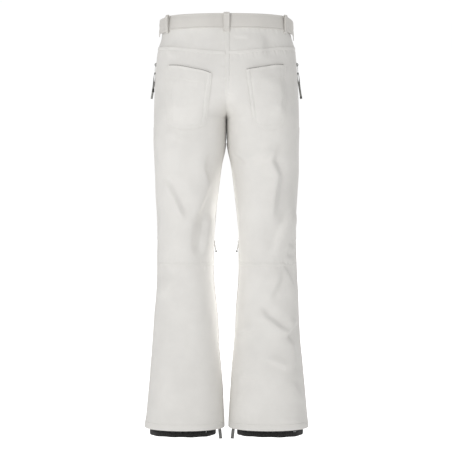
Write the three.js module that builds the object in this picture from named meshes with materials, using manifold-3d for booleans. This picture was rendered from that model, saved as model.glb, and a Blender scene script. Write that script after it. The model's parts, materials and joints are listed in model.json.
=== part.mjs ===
// Ski trousers as separate cloth panels, zips, tabs, loops and gaiters.
// Millimetres. +Z up, +X to the wearer's right, +Y to the wearer's front.
// The origin is the centre of the waist opening, at half the waistband's height.
import * as THREE from 'three';
import { mergeVertices } from 'three/addons/utils/BufferGeometryUtils.js';
import Module from 'manifold-3d';

const wasm = await Module();
wasm.setup();

// ---------- overall lengths ----------
const OUTSEAM = 1043;            // top edge of the waistband to the hem
const BAND_HEIGHT = 36;
const RISE = 258;                // top edge of the waistband to the crotch
const KNEE_DROP = 369;           // crotch to the back knee seam
const GAITER_DROP = 18;          // how far the gaiter shows below the hem

// ---------- half widths of the pair of legs, from the centre plane to the side seam ----------
const WAIST_WIDTH = 160;
const BAND_FLARE = 3;            // the waistband is wider at its lower edge
const HIGH_HIP_WIDTH = 178;
const HIP_WIDTH = 185.5;
const KNEE_WIDTH = 177.5;
const CALF_WIDTH = 188;
const HEM_WIDTH = 209;

// ---------- half gap between the legs ----------
const THIGH_GAP = 22;
const KNEE_GAP = 32;
const CALF_GAP = 20;
const HEM_GAP = 5.5;

// ---------- depths from the side seam to the back and to the front ----------
const WAIST_BACK = 112;
const SEAT_BACK = 138;
const THIGH_BACK = 104;
const KNEE_BACK = 89;
const HEM_BACK = 96;
const WAIST_FRONT = 108;
const BELLY_FRONT = 114;
const THIGH_FRONT = 97;
const KNEE_FRONT = 90;
const HEM_FRONT = 92;

// ---------- cloth, seams and grids ----------
const SHELL = 2.5;               // laminate with its lining
const SEAM_GAP = 0.3;
const SEAT_GAP = 0.3;            // between a piece and what it is sewn to
const TRUNK_SQUARENESS = 2.35;   // super-ellipse exponent of the sections
const LEG_SQUARENESS = 2.1;
const PANEL_COLUMNS = 14;
const ROW_HEIGHT = 38;           // longest grid row along a panel

// ---------- seams across the panels, measured down from the top edge ----------
const YOKE_SIDE = 80;
const YOKE_CENTRE = 98;
const FRONT_KNEE_TOP_DROP = 335; // crotch to the seam above the front knee panel
const FRONT_KNEE_HEIGHT = 150;

// ---------- zips ----------
const TAPE_WIDTH = 16;
const TAPE_THICKNESS = 1.2;
const TEETH_WIDTH = 5;
const TEETH_THICKNESS = 2.6;
const ZIP_SLIT = 1.4;
const ZIP_STOP = 4;              // solid end of a zip
const SLIDER_WIDTH = 8;
const SLIDER_LENGTH = 11;
const SLIDER_PLATE = 1.1;
const SLIDER_CLEARANCE = 0.35;
const POST_WIDTH = 0.7;
const POST_LENGTH = 4;
const CROWN_WIDTH = 2.6;
const CROWN_LENGTH = 6;
const CROWN_HEIGHT = 3.2;
const CROWN_HOLE = 2;
const PIN_SIZE = 1.2;
const CHEEK_THICKNESS = 1.1;
const CHEEK_CLEARANCE = 0.35;
const PULL_START = 4.8;          // pivot to where the tongue of a pull begins
const PULL_THICKNESS = 1.8;
const POCKET_ZIP = { length: 165, below_top: 108, pull: 88, width: 7 };
const VENT_ZIP = { length: 160, below_crotch: 162, pull: 27, width: 6 };
const HEM_ZIP = { length: 140, above_hem: 5, pull: 54, width: 9 };
const FLY_ZIP = { length: 120, below_band: 7, pull: 24, width: 6 };
const VENT_POSITION = 0.925;     // share of the way from the side seam to the inseam
const HEM_ZIP_POSITION = 0.815;

// ---------- waist pieces ----------
const BAND_THICKNESS = 3;
const FACING_THICKNESS = 1.2;
const FRONT_SPLIT = 1;
const LOOP = { width: 15.5, height: 46, strap: 2, clearance: 5, foot: 2.5 };
const LOOP_ABOVE_BAND = 2;
const BACK_LOOP_INSET = 16;      // the loop behind each side seam, inwards from it
const FRONT_LOOP_X = 100;
const TAB = { length: 60, height: 28, thickness: 2, root: 6 };
const STUD = { radius: 5, height: 2, cap_radius: 6.5, spacing: 20 };
const ADJUSTER = { length: 60, height: 36, thickness: 2, drop: 8 };
const ADJUSTER_ROOT = { inset: 5.5, y: -50 };
const ADJUSTER_SPLAY = 15;       // degrees off the front direction, outwards
const PAD = { length: 24, height: 18, y: -8, z: -4 };

// ---------- pockets ----------
const POCKET = { inner_top: 40, outer_top: 150, inner_low: 54, outer_low: 147, tip: 100 };
const POCKET_LEVEL = { inner_top: 145, outer_top: 122, outer_low: 270, tip: 298, inner_low: 276 };
const POCKET_THICKNESS = 1.6;
const BAG_THICKNESS = 3;
const BAG_HEIGHT = 190;
const SLIDER_ROOM = 2.9;         // depth behind the panels that the sliders need

// ---------- gaiters ----------
const GAITER_LENGTH = 195;       // from its seam inside the leg to its lower edge
const GAITER_TAPER = 60;         // it narrows over this length below its seam
const GAITER_THICKNESS = 1.6;
const GAITER_HALF_WIDTH = 83.5;
const GAITER_CENTRE = 111.5;
const GAITER_BACK = 80;
const GAITER_FRONT = 76;
const ELASTIC_HEIGHT = 12;
const ELASTIC_THICKNESS = 2.6;
const HOOK = { width: 12, length: 16, thickness: 1.2, lip: 4 };

// ---------- levels worked out from the lengths ----------
const TOP_Z = BAND_HEIGHT / 2;
const BAND_LOW_Z = -BAND_HEIGHT / 2;
const CROTCH_Z = TOP_Z - RISE;
const KNEE_Z = CROTCH_Z - KNEE_DROP;
const HEM_Z = TOP_Z - OUTSEAM;
const GAITER_Z = HEM_Z - GAITER_DROP;
const FRONT_KNEE_Z = CROTCH_Z - FRONT_KNEE_TOP_DROP;
const FRONT_SHIN_Z = FRONT_KNEE_Z - FRONT_KNEE_HEIGHT;
const mix = (a, b, t) => a + (b - a) * t;

// Smooth curve through [level, value] stations that never overshoots between them.
function profile(stations) {
  const points = [...stations].sort((p, q) => p[0] - q[0]);
  const slopes = points.slice(1).map((p, i) => (p[1] - points[i][1]) / (p[0] - points[i][0]));
  const tangents = points.map((p, i) => {
    if (i === 0) return slopes[0];
    if (i === points.length - 1) return slopes[i - 1];
    if (slopes[i - 1] * slopes[i] <= 0) return 0;
    return 2 * slopes[i - 1] * slopes[i] / (slopes[i - 1] + slopes[i]);
  });
  return (z) => {
    if (z <= points[0][0]) return points[0][1];
    if (z >= points[points.length - 1][0]) return points[points.length - 1][1];
    const i = points.findIndex((p) => p[0] > z) - 1;
    const span = points[i + 1][0] - points[i][0];
    const t = (z - points[i][0]) / span;
    const rise = points[i][1] * (2 * t ** 3 - 3 * t ** 2 + 1) + points[i + 1][1] * (3 * t ** 2 - 2 * t ** 3);
    return rise + span * (tangents[i] * (t ** 3 - 2 * t ** 2 + t) + tangents[i + 1] * (t ** 3 - t ** 2));
  };
}

const halfWidthAt = profile([
  [TOP_Z, WAIST_WIDTH], [BAND_LOW_Z, WAIST_WIDTH + BAND_FLARE], [BAND_LOW_Z - 66, HIGH_HIP_WIDTH],
  [CROTCH_Z - 10, HIP_WIDTH], [KNEE_Z + 50, KNEE_WIDTH],
  [mix(KNEE_Z, HEM_Z, 0.4), CALF_WIDTH], [HEM_Z, HEM_WIDTH]]);
const gapAt = profile([
  [CROTCH_Z, SEAM_GAP / 2], [CROTCH_Z - 72, 1.6], [CROTCH_Z - 113, THIGH_GAP / 2],
  [CROTCH_Z - 195, THIGH_GAP], [KNEE_Z + 60, KNEE_GAP], [mix(KNEE_Z, HEM_Z, 0.48), CALF_GAP],
  [HEM_Z, HEM_GAP]]);
const backAt = profile([
  [TOP_Z, WAIST_BACK], [BAND_LOW_Z - 42, WAIST_BACK + 10], [CROTCH_Z + 85, SEAT_BACK],
  [CROTCH_Z - 110, THIGH_BACK + 4], [CROTCH_Z - 210, THIGH_BACK - 6], [KNEE_Z, KNEE_BACK],
  [HEM_Z, HEM_BACK]]);
const frontAt = profile([
  [TOP_Z, WAIST_FRONT], [CROTCH_Z + 50, BELLY_FRONT], [CROTCH_Z - 110, THIGH_FRONT],
  [KNEE_Z, KNEE_FRONT], [HEM_Z, HEM_FRONT]]);
const overlapAt = profile([
  [TOP_Z, 0], [BAND_LOW_Z - 22, 0], [BAND_LOW_Z - 66, 0.12], [CROTCH_Z + 90, 0.3],
  [CROTCH_Z + 40, 0.62], [CROTCH_Z, 1]]);
const squarenessAt = profile([
  [TOP_Z, TRUNK_SQUARENESS], [CROTCH_Z, TRUNK_SQUARENESS], [KNEE_Z, LEG_SQUARENESS],
  [HEM_Z, LEG_SQUARENESS]]);

// One leg's section: a super-ellipse about (centre, 0). Above the crotch the two legs' tubes
// overlap, until at the waist they are the same ellipse about the centre plane.
function section(z, face) {
  const width = halfWidthAt(z);
  const gap = gapAt(z);
  const overlap = z > CROTCH_Z ? overlapAt(z) : (width + gap) / (width - gap);
  return {
    centre: overlap * width / (1 + overlap),
    across: width / (1 + overlap),
    depth: face === 'back' ? backAt(z) : frontAt(z),
    power: squarenessAt(z),
  };
}

const signedPower = (value, power) => Math.sign(value) * Math.abs(value) ** power;

// Point of the trousers' surface: share 0 is the side seam, 1 the centre seam or the inseam.
function surfacePoint(side, face, share, z, offset = 0) {
  const { centre, across, depth, power } = section(z, face);
  const reach = THREE.MathUtils.clamp((SEAM_GAP / 2 - centre) / across, -1, 1);
  const angle = share * Math.acos(signedPower(reach, power / 2));
  const x = centre + (across + offset) * signedPower(Math.cos(angle), 2 / power);
  const y = (depth + offset) * Math.sin(angle) ** (2 / power) + SEAM_GAP / 2;
  return new THREE.Vector3(side * Math.max(x, SEAM_GAP / 2), face === 'back' ? -y : y, z);
}

// Outward horizontal normal of the surface at the same point.
function surfaceNormal(side, face, share, z) {
  const { centre, across, depth, power } = section(z, face);
  const at = surfacePoint(1, face, share, z);
  const x = signedPower((at.x - centre) / across, power - 1) / across;
  const y = signedPower((Math.abs(at.y) - SEAM_GAP / 2) / depth, power - 1) / depth;
  return new THREE.Vector3(side * x, face === 'back' ? -y : y, 0).normalize();
}

// Share of the way round at which the surface lies a given distance from the centre plane.
function shareAt(face, x, z) {
  let low = 0;
  let high = 1;
  for (let step = 0; step < 40; step += 1) {
    const middle = (low + high) / 2;
    if (surfacePoint(1, face, middle, z).x > x) low = middle;
    else high = middle;
  }
  return low;
}

// ---------- geometry helpers ----------
function orient(positions, index) {
  const [a, b, c] = [new THREE.Vector3(), new THREE.Vector3(), new THREE.Vector3()];
  let volume = 0;
  for (let i = 0; i < index.length; i += 3) {
    a.fromArray(positions, 3 * index[i]);
    b.fromArray(positions, 3 * index[i + 1]);
    c.fromArray(positions, 3 * index[i + 2]);
    volume += a.dot(b.cross(c));
  }
  if (volume < 0) index.reverse();
  const geometry = new THREE.BufferGeometry();
  geometry.setAttribute('position', new THREE.Float32BufferAttribute(positions, 3));
  geometry.setIndex(index);
  return geometry;
}

// Closed wall between two equal grids of points. A ring's last column joins its first.
function wall(outer, inner, ring = false) {
  const rows = outer.length;
  const columns = outer[0].length;
  const positions = [outer, inner].flat(2).flatMap((p) => p.toArray());
  const at = (layer, r, c) => layer * rows * columns + r * columns + (c % columns);
  const index = [];
  const quad = (a, b, c, d) => index.push(a, b, c, a, c, d);
  const last = ring ? columns : columns - 1;
  for (let r = 0; r < rows - 1; r += 1) {
    for (let c = 0; c < last; c += 1) {
      quad(at(0, r, c), at(0, r + 1, c), at(0, r + 1, c + 1), at(0, r, c + 1));
      quad(at(1, r, c), at(1, r, c + 1), at(1, r + 1, c + 1), at(1, r + 1, c));
    }
    if (ring) continue;
    quad(at(0, r, 0), at(1, r, 0), at(1, r + 1, 0), at(0, r + 1, 0));
    quad(at(0, r, last), at(0, r + 1, last), at(1, r + 1, last), at(1, r, last));
  }
  for (let c = 0; c < last; c += 1) {
    quad(at(0, 0, c), at(0, 0, c + 1), at(1, 0, c + 1), at(1, 0, c));
    quad(at(0, rows - 1, c), at(1, rows - 1, c), at(1, rows - 1, c + 1), at(0, rows - 1, c + 1));
  }
  return orient(positions, index);
}

function solid(geometry) {
  const bare = geometry.clone();
  bare.deleteAttribute('normal');
  bare.deleteAttribute('uv');
  const merged = mergeVertices(bare, 1e-4);
  return new wasm.Manifold(new wasm.Mesh({
    numProp: 3,
    vertProperties: new Float32Array(merged.attributes.position.array),
    triVerts: new Uint32Array(merged.index.array),
  }));
}

function geometryOf(manifold) {
  const mesh = manifold.getMesh();
  const geometry = new THREE.BufferGeometry();
  geometry.setAttribute('position', new THREE.BufferAttribute(mesh.vertProperties, 3));
  geometry.setIndex(new THREE.BufferAttribute(mesh.triVerts, 1));
  return geometry;
}

const join = (...geometries) => geometryOf(geometries.map(solid).reduce((all, one) => all.add(one)));
function cut(geometry, ...tools) {
  return geometryOf(tools.map(solid).reduce((rest, one) => rest.subtract(one), solid(geometry)));
}

function box(width, length, height, x = 0, y = 0, z = 0) {
  return new THREE.BoxGeometry(width, length, height).translate(x, y, z);
}

function rectangle(width, height, x = 0, y = 0) {
  const points = [[-1, -1], [1, -1], [1, 1], [-1, 1]];
  return points.map(([i, j]) => new THREE.Vector2(x + i * width / 2, y + j * height / 2));
}

function plate(points, thickness, holes = []) {
  const shape = new THREE.Shape(points);
  shape.holes = holes.map((hole) => new THREE.Path(hole));
  const options = { depth: thickness, bevelEnabled: false };
  return new THREE.ExtrudeGeometry(shape, options).translate(0, 0, -thickness / 2);
}

// ---------- colours and finishes ----------
function finish(color, roughness, metalness = 0) {
  return () => new THREE.MeshStandardMaterial({ color, roughness, metalness });
}
const CLOTH = finish(0xe2e1dd, 0.85);
const FACING = finish(0xd2d1cd, 0.9);
const GAITER = finish(0x21211f, 0.8);
const TAPE = finish(0xd8d7d3, 0.8);
const METAL = finish(0x9a9a98, 0.35, 0.9);
const CORD = finish(0x8b8b88, 0.7);

const trousers = new THREE.Group();
function add(name, geometry, material, parent = trousers) {
  const mesh = new THREE.Mesh(geometry, material());
  mesh.name = name;
  parent.add(mesh);
  return mesh;
}

const SIDES = [['left', -1], ['right', 1]];

// ---------- shell panels ----------
// Rows of a patch, each a level that varies with the share. One row lies at the crotch where
// the patch passes it.
function patchRows(high, low) {
  const passes = high(0) > CROTCH_Z + ROW_HEIGHT && low(0) < CROTCH_Z - ROW_HEIGHT;
  const stretches = passes ? [[high, level(CROTCH_Z)], [level(CROTCH_Z), low]] : [[high, low]];
  const rows = stretches.flatMap(([from, to]) => {
    const count = Math.max(2, Math.ceil((from(0) - to(0)) / ROW_HEIGHT));
    return Array.from({ length: count }, (_, r) => (share) => mix(from(share), to(share), r / count));
  });
  return [...rows, low];
}

// Patch of cloth between two offsets of the surface. High and low edges are functions of the share.
function patch(side, face, shares, high, low, outerOffset, innerOffset) {
  const columns = Math.max(2, Math.round((shares[1] - shares[0]) * PANEL_COLUMNS));
  const sharesAcross = Array.from({ length: columns + 1 }, (_, c) => mix(shares[0], shares[1], c / columns));
  const rows = patchRows(high, low);
  const grid = (offset) => rows.map((row) => sharesAcross.map((share) =>
    surfacePoint(side, face, share, row(share), offset)));
  return wall(grid(outerOffset), grid(innerOffset));
}

const level = (z) => () => z;
const below = (edge) => (share) => edge(share) - SEAM_GAP;
const yokeSeam = (share) => TOP_Z - mix(YOKE_SIDE, YOKE_CENTRE, share);
const BACK_THIGH_EDGES = [below(yokeSeam), level(KNEE_Z)];
const FRONT_THIGH_EDGES = [level(BAND_LOW_Z - SEAM_GAP), level(FRONT_KNEE_Z)];
const panel = (side, face, high, low) => patch(side, face, [0, 1], high, low, 0, -SHELL);

// ---------- zips ----------
// Frame of a zip set into the surface: x across the tape, y up along it, z outwards.
// A zip at share 1 lies in the centre plane and faces straight out.
function zipFrame(side, face, share, highZ, length) {
  const high = surfacePoint(side, face, share, highZ, -SHELL / 2);
  const low = surfacePoint(side, face, share, highZ - length, -SHELL / 2);
  const outward = surfaceNormal(side, face, share, highZ - length / 2);
  if (share === 1) [high, low, outward].forEach((vector) => vector.setX(0));
  const along = high.clone().sub(low).normalize();
  const across = along.clone().cross(outward).normalize();
  outward.copy(across).cross(along);
  const matrix = new THREE.Matrix4().makeBasis(across, along, outward);
  return matrix.setPosition(high.clone().addScaledVector(along, -length / 2));
}

const slotBox = (length, depth) => box(TAPE_WIDTH + 2 * SEAM_GAP, length + 2 * SEAM_GAP, depth);
const slot = (frame, length) => slotBox(length, 8 * SHELL).applyMatrix4(frame);

// Tape with two rows of teeth either side of a slit, joined by a stop at each end.
function zipTape(length) {
  const slit = [rectangle(ZIP_SLIT, length - 2 * ZIP_STOP)];
  const tape = plate(rectangle(TAPE_WIDTH, length), TAPE_THICKNESS, slit);
  const teeth = plate(rectangle(TEETH_WIDTH, length - ZIP_STOP), TEETH_THICKNESS, slit);
  return join(tape, teeth);
}

const PLATE_LEVEL = TEETH_THICKNESS / 2 + SLIDER_CLEARANCE + SLIDER_PLATE / 2;
const PIVOT_LEVEL = PLATE_LEVEL + SLIDER_PLATE / 2 + CROWN_HEIGHT / 2;

// Room that a zip needs behind its tape for the slider's inner plate.
const LANE_DEPTH = 2 * PLATE_LEVEL + SLIDER_PLATE + 2 * SEAT_GAP;
const lane = (frame, length) => slotBox(length, LANE_DEPTH).applyMatrix4(frame);

// Two plates joined by a post through the slit, with a crown that the pull hangs on.
function zipSlider() {
  const plates = [-1, 1].map((end) => box(SLIDER_WIDTH, SLIDER_LENGTH, SLIDER_PLATE, 0, 0, end * PLATE_LEVEL));
  const post = box(POST_WIDTH, POST_LENGTH, 2 * PLATE_LEVEL);
  const crownHeight = CROWN_HEIGHT + SLIDER_PLATE;
  const crown = box(CROWN_WIDTH, CROWN_LENGTH, crownHeight, 0, 0, PIVOT_LEVEL - SLIDER_PLATE / 2);
  const hole = box(2 * CROWN_WIDTH, CROWN_HOLE, CROWN_HOLE, 0, 0, PIVOT_LEVEL);
  return cut(join(...plates, post, crown), hole);
}

// Pull that hangs from a pin through the crown. Its origin is the pin.
function zipPull(length, width) {
  const reach = CROWN_WIDTH / 2 + CHEEK_CLEARANCE + CHEEK_THICKNESS;
  const pin = box(2 * reach, PIN_SIZE, PIN_SIZE);
  const cheeks = [-1, 1].map((end) => box(CHEEK_THICKNESS, PULL_START + PIN_SIZE, PULL_THICKNESS - 0.4,
    end * (reach - CHEEK_THICKNESS / 2), -PULL_START / 2, 0));
  const shoulder = Math.min(PULL_START + 6, length / 2);
  const outline = [[-reach, -PULL_START], [reach, -PULL_START], [width / 2, -shoulder],
    [width / 2, 1 - length], [width / 2 - 1, -length], [1 - width / 2, -length],
    [-width / 2, 1 - length], [-width / 2, -shoulder]];
  const tongue = plate(outline.map(([x, y]) => new THREE.Vector2(x, y)).reverse(), PULL_THICKNESS);
  return join(pin, ...cheeks, tongue);
}

// A zip, its slider at one end of its travel, and its pull, hanging down or lying on the cloth.
function addZip(name, suffix, frame, size, closedAt) {
  const group = new THREE.Group();
  frame.decompose(group.position, group.quaternion, group.scale);
  trousers.add(group);
  const y = closedAt * (size.length / 2 - ZIP_STOP - SLIDER_LENGTH / 2);
  add(`${name}_zip${suffix}`, zipTape(size.length), TAPE, group);
  add(`${name}_slider${suffix}`, zipSlider(), METAL, group).position.set(0, y, 0);
  const pull = add(`${name}_pull${suffix}`, zipPull(size.pull, size.width), CORD, group);
  pull.position.set(0, y, PIVOT_LEVEL);
  const down = new THREE.Vector3(0, 0, -1).applyQuaternion(group.quaternion.clone().invert());
  pull.rotation.x = -Math.max(0, Math.atan2(down.z, -down.y));
}

// ---------- shell, with the slots of its zips ----------
const pocketFrame = (side) => zipFrame(side, 'front', 0, TOP_Z - POCKET_ZIP.below_top, POCKET_ZIP.length);
const ventFrame = (side) => zipFrame(side, 'front', VENT_POSITION, CROTCH_Z - VENT_ZIP.below_crotch,
  VENT_ZIP.length);
const HEM_ZIP_HIGH = HEM_Z + HEM_ZIP.above_hem + HEM_ZIP.length;
const hemFrame = (side) => zipFrame(side, 'front', HEM_ZIP_POSITION, HEM_ZIP_HIGH, HEM_ZIP.length);
const FLY_FRAME = zipFrame(1, 'front', 1, BAND_LOW_Z - FLY_ZIP.below_band, FLY_ZIP.length);

for (const [hand, side] of SIDES) {
  add(`back_yoke_${hand}`, panel(side, 'back', level(BAND_LOW_Z - SEAM_GAP), yokeSeam), CLOTH);
  add(`back_thigh_${hand}`, cut(panel(side, 'back', ...BACK_THIGH_EDGES),
    slot(pocketFrame(side), POCKET_ZIP.length)), CLOTH);
  add(`back_calf_${hand}`, panel(side, 'back', below(level(KNEE_Z)), level(HEM_Z)), CLOTH);
  add(`front_thigh_${hand}`, cut(panel(side, 'front', ...FRONT_THIGH_EDGES),
    slot(pocketFrame(side), POCKET_ZIP.length), slot(ventFrame(side), VENT_ZIP.length),
    slot(FLY_FRAME, FLY_ZIP.length)), CLOTH);
  add(`front_knee_${hand}`, panel(side, 'front', below(level(FRONT_KNEE_Z)), level(FRONT_SHIN_Z)), CLOTH);
  add(`front_shin_${hand}`, cut(panel(side, 'front', below(level(FRONT_SHIN_Z)), level(HEM_Z)),
    slot(hemFrame(side), HEM_ZIP.length)), CLOTH);

  addZip('hand_pocket', `_${hand}`, pocketFrame(side), POCKET_ZIP, 1);
  addZip('thigh_vent', `_${hand}`, ventFrame(side), VENT_ZIP, -1);
  addZip('hem', `_${hand}`, hemFrame(side), HEM_ZIP, -1);
}
addZip('fly', '', FLY_FRAME, FLY_ZIP, 1);

// ---------- waistband ----------
// Ring of points round both sides of the waist at one level.
function waistRing(z, offset) {
  const columns = 2 * PANEL_COLUMNS;
  const quarter = (side, face, reversed) => Array.from({ length: columns / 2 }, (_, c) => {
    const share = reversed ? 1 - 2 * c / columns : 2 * c / columns;
    return surfacePoint(side, face, share, z, offset);
  });
  const points = [quarter(1, 'back', false), quarter(-1, 'back', true),
    quarter(-1, 'front', false), quarter(1, 'front', true)].flat();
  return points;
}

function waistHoop(high, low, outer, inner) {
  const rings = (offset) => [high, low].map((z) => waistRing(z, offset));
  const split = box(FRONT_SPLIT, 4 * WAIST_FRONT, 4 * BAND_HEIGHT, 0, 2 * WAIST_FRONT, 0);
  return cut(wall(rings(outer), rings(inner), true), split);
}

add('waistband', waistHoop(TOP_Z, BAND_LOW_Z, 0, -BAND_THICKNESS), CLOTH);
add('waistband_facing', waistHoop(TOP_Z - 1, BAND_LOW_Z, -BAND_THICKNESS - SEAT_GAP,
  -BAND_THICKNESS - SEAT_GAP - FACING_THICKNESS), FACING);

// A strap that stands off the band on two feet, as a belt passes behind it.
function beltLoop() {
  const { width, height, strap, clearance, foot } = LOOP;
  const outside = SEAT_GAP + clearance + strap;
  const highZ = TOP_Z + LOOP_ABOVE_BAND;
  const footTop = TOP_Z - 1;
  const profilePoints = [[outside, highZ], [outside, highZ - height], [outside - strap, highZ - height],
    [outside - strap, BAND_LOW_Z], [SEAT_GAP, BAND_LOW_Z], [SEAT_GAP, BAND_LOW_Z + foot],
    [outside - strap, BAND_LOW_Z + foot], [outside - strap, footTop - foot], [SEAT_GAP, footTop - foot],
    [SEAT_GAP, footTop], [outside - strap, footTop], [outside - strap, highZ]];
  const shape = profilePoints.map(([out, z]) => new THREE.Vector2(out, z)).reverse();
  return plate(shape, width).rotateX(Math.PI / 2);
}

// The loop's seat is the outermost point of the flared band at that place.
function addLoop(name, side, face, x) {
  const share = shareAt(face, x, BAND_LOW_Z);
  const normal = surfaceNormal(side, face, share, BAND_LOW_Z);
  const mesh = add(name, beltLoop(), CLOTH);
  mesh.position.copy(surfacePoint(side, face, share, BAND_LOW_Z)).setZ(0);
  mesh.rotation.z = Math.atan2(normal.y, normal.x);
}

addLoop('belt_loop_centre_back', 1, 'back', SEAM_GAP / 2);
for (const [hand, side] of SIDES) {
  addLoop(`belt_loop_back_${hand}`, side, 'back', halfWidthAt(BAND_LOW_Z) - BACK_LOOP_INSET);
  addLoop(`belt_loop_front_${hand}`, side, 'front', FRONT_LOOP_X);
}

// ---------- waist tab with its snaps ----------
const FRONT_FACE = frontAt(BAND_LOW_Z) + SEAM_GAP / 2;
const TAB_LEVEL = FRONT_FACE + SEAT_GAP + STUD.height + SEAT_GAP;

// The tab folds about its root at the wearer's right and closes over two studs on the band.
function waistTab() {
  const { length, height, thickness, root } = TAB;
  const strap = box(length, thickness, height, 0, TAB_LEVEL + thickness / 2, 0);
  const footShare = shareAt('front', length / 2 - root, BAND_LOW_Z);
  const footFace = surfacePoint(1, 'front', footShare, BAND_LOW_Z).y + SEAT_GAP;
  const depth = TAB_LEVEL + thickness - footFace;
  const foot = box(root, depth, height, length / 2 - root / 2, footFace + depth / 2, 0);
  return join(strap, foot);
}

function disc(radius, height, x, y) {
  return new THREE.CylinderGeometry(radius, radius, height, 20).translate(x, y + height / 2, 0);
}

add('waist_tab', waistTab(), CLOTH);
for (const [name, sign] of [['inner', 1], ['outer', -1]]) {
  const x = sign * STUD.spacing / 2 - 4;
  add(`snap_stud_${name}`, disc(STUD.radius, STUD.height, x, FRONT_FACE + SEAT_GAP), METAL);
  add(`snap_cap_${name}`, disc(STUD.cap_radius, STUD.height, x, TAB_LEVEL + TAB.thickness + SEAT_GAP), METAL);
}

// ---------- side adjusters ----------
// A tab that swings about its root behind the side seam, over a hook-and-loop pad on the band.
function adjusterTab() {
  const { length, height, thickness } = ADJUSTER;
  const outline = [[0, -0.42], [0, 0.42], [0.85, 0.5], [1, 0.3], [1, -0.3], [0.85, -0.5]];
  const points = outline.map(([along, up]) => new THREE.Vector2(along * length, up * height));
  return plate(points, thickness).rotateX(Math.PI / 2);
}

// The root stands off the cloth at the tab's lower edge, and the pad fills the room under the tab.
for (const [hand, side] of SIDES) {
  const tab = add(`adjuster_tab_${hand}`, adjusterTab(), CLOTH);
  const rootX = halfWidthAt(-ADJUSTER.drop - ADJUSTER.height / 2) - ADJUSTER_ROOT.inset;
  tab.position.set(side * rootX, ADJUSTER_ROOT.y, -ADJUSTER.drop);
  const splay = THREE.MathUtils.degToRad(ADJUSTER_SPLAY);
  tab.rotation.z = side === 1 ? Math.PI / 2 - splay : Math.PI / 2 + splay;
  const reach = (PAD.y - PAD.length / 2 - ADJUSTER_ROOT.y) * Math.tan(splay);
  const padOuter = rootX + reach - (ADJUSTER.thickness / 2 + SEAT_GAP) / Math.cos(splay);
  const padInner = halfWidthAt(BAND_LOW_Z) + SEAT_GAP;
  const pad = box(padOuter - padInner, PAD.length, PAD.height);
  pad.translate(side * (padOuter + padInner) / 2, PAD.y, PAD.z);
  add(`adjuster_pad_${hand}`, pad, FACING);
}

// ---------- pockets ----------
// A patch pocket: the cloth over the back thigh, trimmed to a five-sided outline.
function backPocket(side) {
  const { inner_top, outer_top, inner_low, outer_low, tip } = POCKET;
  const levels = POCKET_LEVEL;
  const outline = [[inner_top, levels.inner_top], [outer_top, levels.outer_top], [outer_low, levels.outer_low],
    [tip, levels.tip], [inner_low, levels.inner_low]];
  const points = outline.map(([x, drop]) => new THREE.Vector2(side * x, TOP_Z - drop));
  if (side === 1) points.reverse();
  const prism = plate(points, 2 * SEAT_BACK).rotateX(Math.PI / 2).translate(0, -SEAT_BACK, 0);
  const cloth = patch(side, 'back', [0, 1], ...BACK_THIGH_EDGES, SEAT_GAP + POCKET_THICKNESS, SEAT_GAP);
  return geometryOf(solid(cloth).intersect(solid(prism)));
}

// A piece sewn behind a panel: held along one stretch, and clear of the sliders elsewhere.
function innerPiece(side, face, held, spread, high, low, thickness, lane) {
  const back = -SHELL - SLIDER_ROOM - SEAT_GAP;
  const layer = patch(side, face, spread, level(high), level(low), back, back - thickness);
  const seat = patch(side, face, held, level(high), level(low), -SHELL, back - thickness / 2);
  const cloth = patch(side, face, [0, 1], ...FRONT_THIGH_EDGES, 4 * SHELL, -SHELL - SEAT_GAP);
  return cut(join(layer, seat), cloth, lane);
}

for (const [hand, side] of SIDES) {
  add(`back_pocket_${hand}`, backPocket(side), CLOTH);
  const bagHigh = BAND_LOW_Z - 60;
  add(`pocket_bag_${hand}`, innerPiece(side, 'front', [0.3, 0.5], [0.02, 0.5], bagHigh, bagHigh - BAG_HEIGHT,
    BAG_THICKNESS, lane(pocketFrame(side), POCKET_ZIP.length)), FACING);
}
const shieldLow = BAND_LOW_Z - FLY_ZIP.below_band - FLY_ZIP.length;
add('fly_shield', innerPiece(1, 'front', [0.86, 0.92], [0.86, 1], BAND_LOW_Z - 3, shieldLow, 1.5,
  lane(FLY_FRAME, FLY_ZIP.length)), FACING);

// ---------- gaiters ----------
// Rows of a gaiter's ring: sewn inside the leg at the top, a smaller ring at its lower edge.
function gaiterSection(z) {
  const high = GAITER_Z + GAITER_LENGTH;
  const inset = -SHELL - SEAT_GAP;
  const t = THREE.MathUtils.smoothstep(high - z, 0, GAITER_TAPER);
  const at = (face, own) => mix(section(high, face).depth + inset, own, t);
  return {
    centre: mix(section(high, 'back').centre, GAITER_CENTRE, t),
    across: mix(section(high, 'back').across + inset, GAITER_HALF_WIDTH, t),
    back: at('back', GAITER_BACK),
    front: at('front', GAITER_FRONT),
  };
}

function gaiterRing(side, z, offset) {
  const { centre, across, back, front } = gaiterSection(z);
  const columns = 24;
  return Array.from({ length: columns }, (_, c) => {
    const angle = 2 * Math.PI * c / columns;
    const depth = (Math.sin(angle) < 0 ? back : front) + offset;
    const x = centre + (across + offset) * Math.cos(angle);
    return new THREE.Vector3(side * x, depth * Math.sin(angle), z);
  });
}

function gaiterTube(side, levels, outer, inner) {
  const rings = (offset) => levels.map((z) => gaiterRing(side, z, offset));
  return wall(rings(outer), rings(inner), true);
}

// A flat hook for the boot lace, with its lower edge turned up.
function laceHook() {
  const { width, length, thickness, lip } = HOOK;
  const blade = box(width, thickness, length, 0, thickness / 2, -length / 2);
  const turn = box(width, lip, thickness, 0, lip / 2, thickness / 2 - length);
  const catchEdge = box(width, thickness, lip, 0, lip - thickness / 2, lip / 2 - length);
  return join(blade, turn, catchEdge);
}

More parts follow.
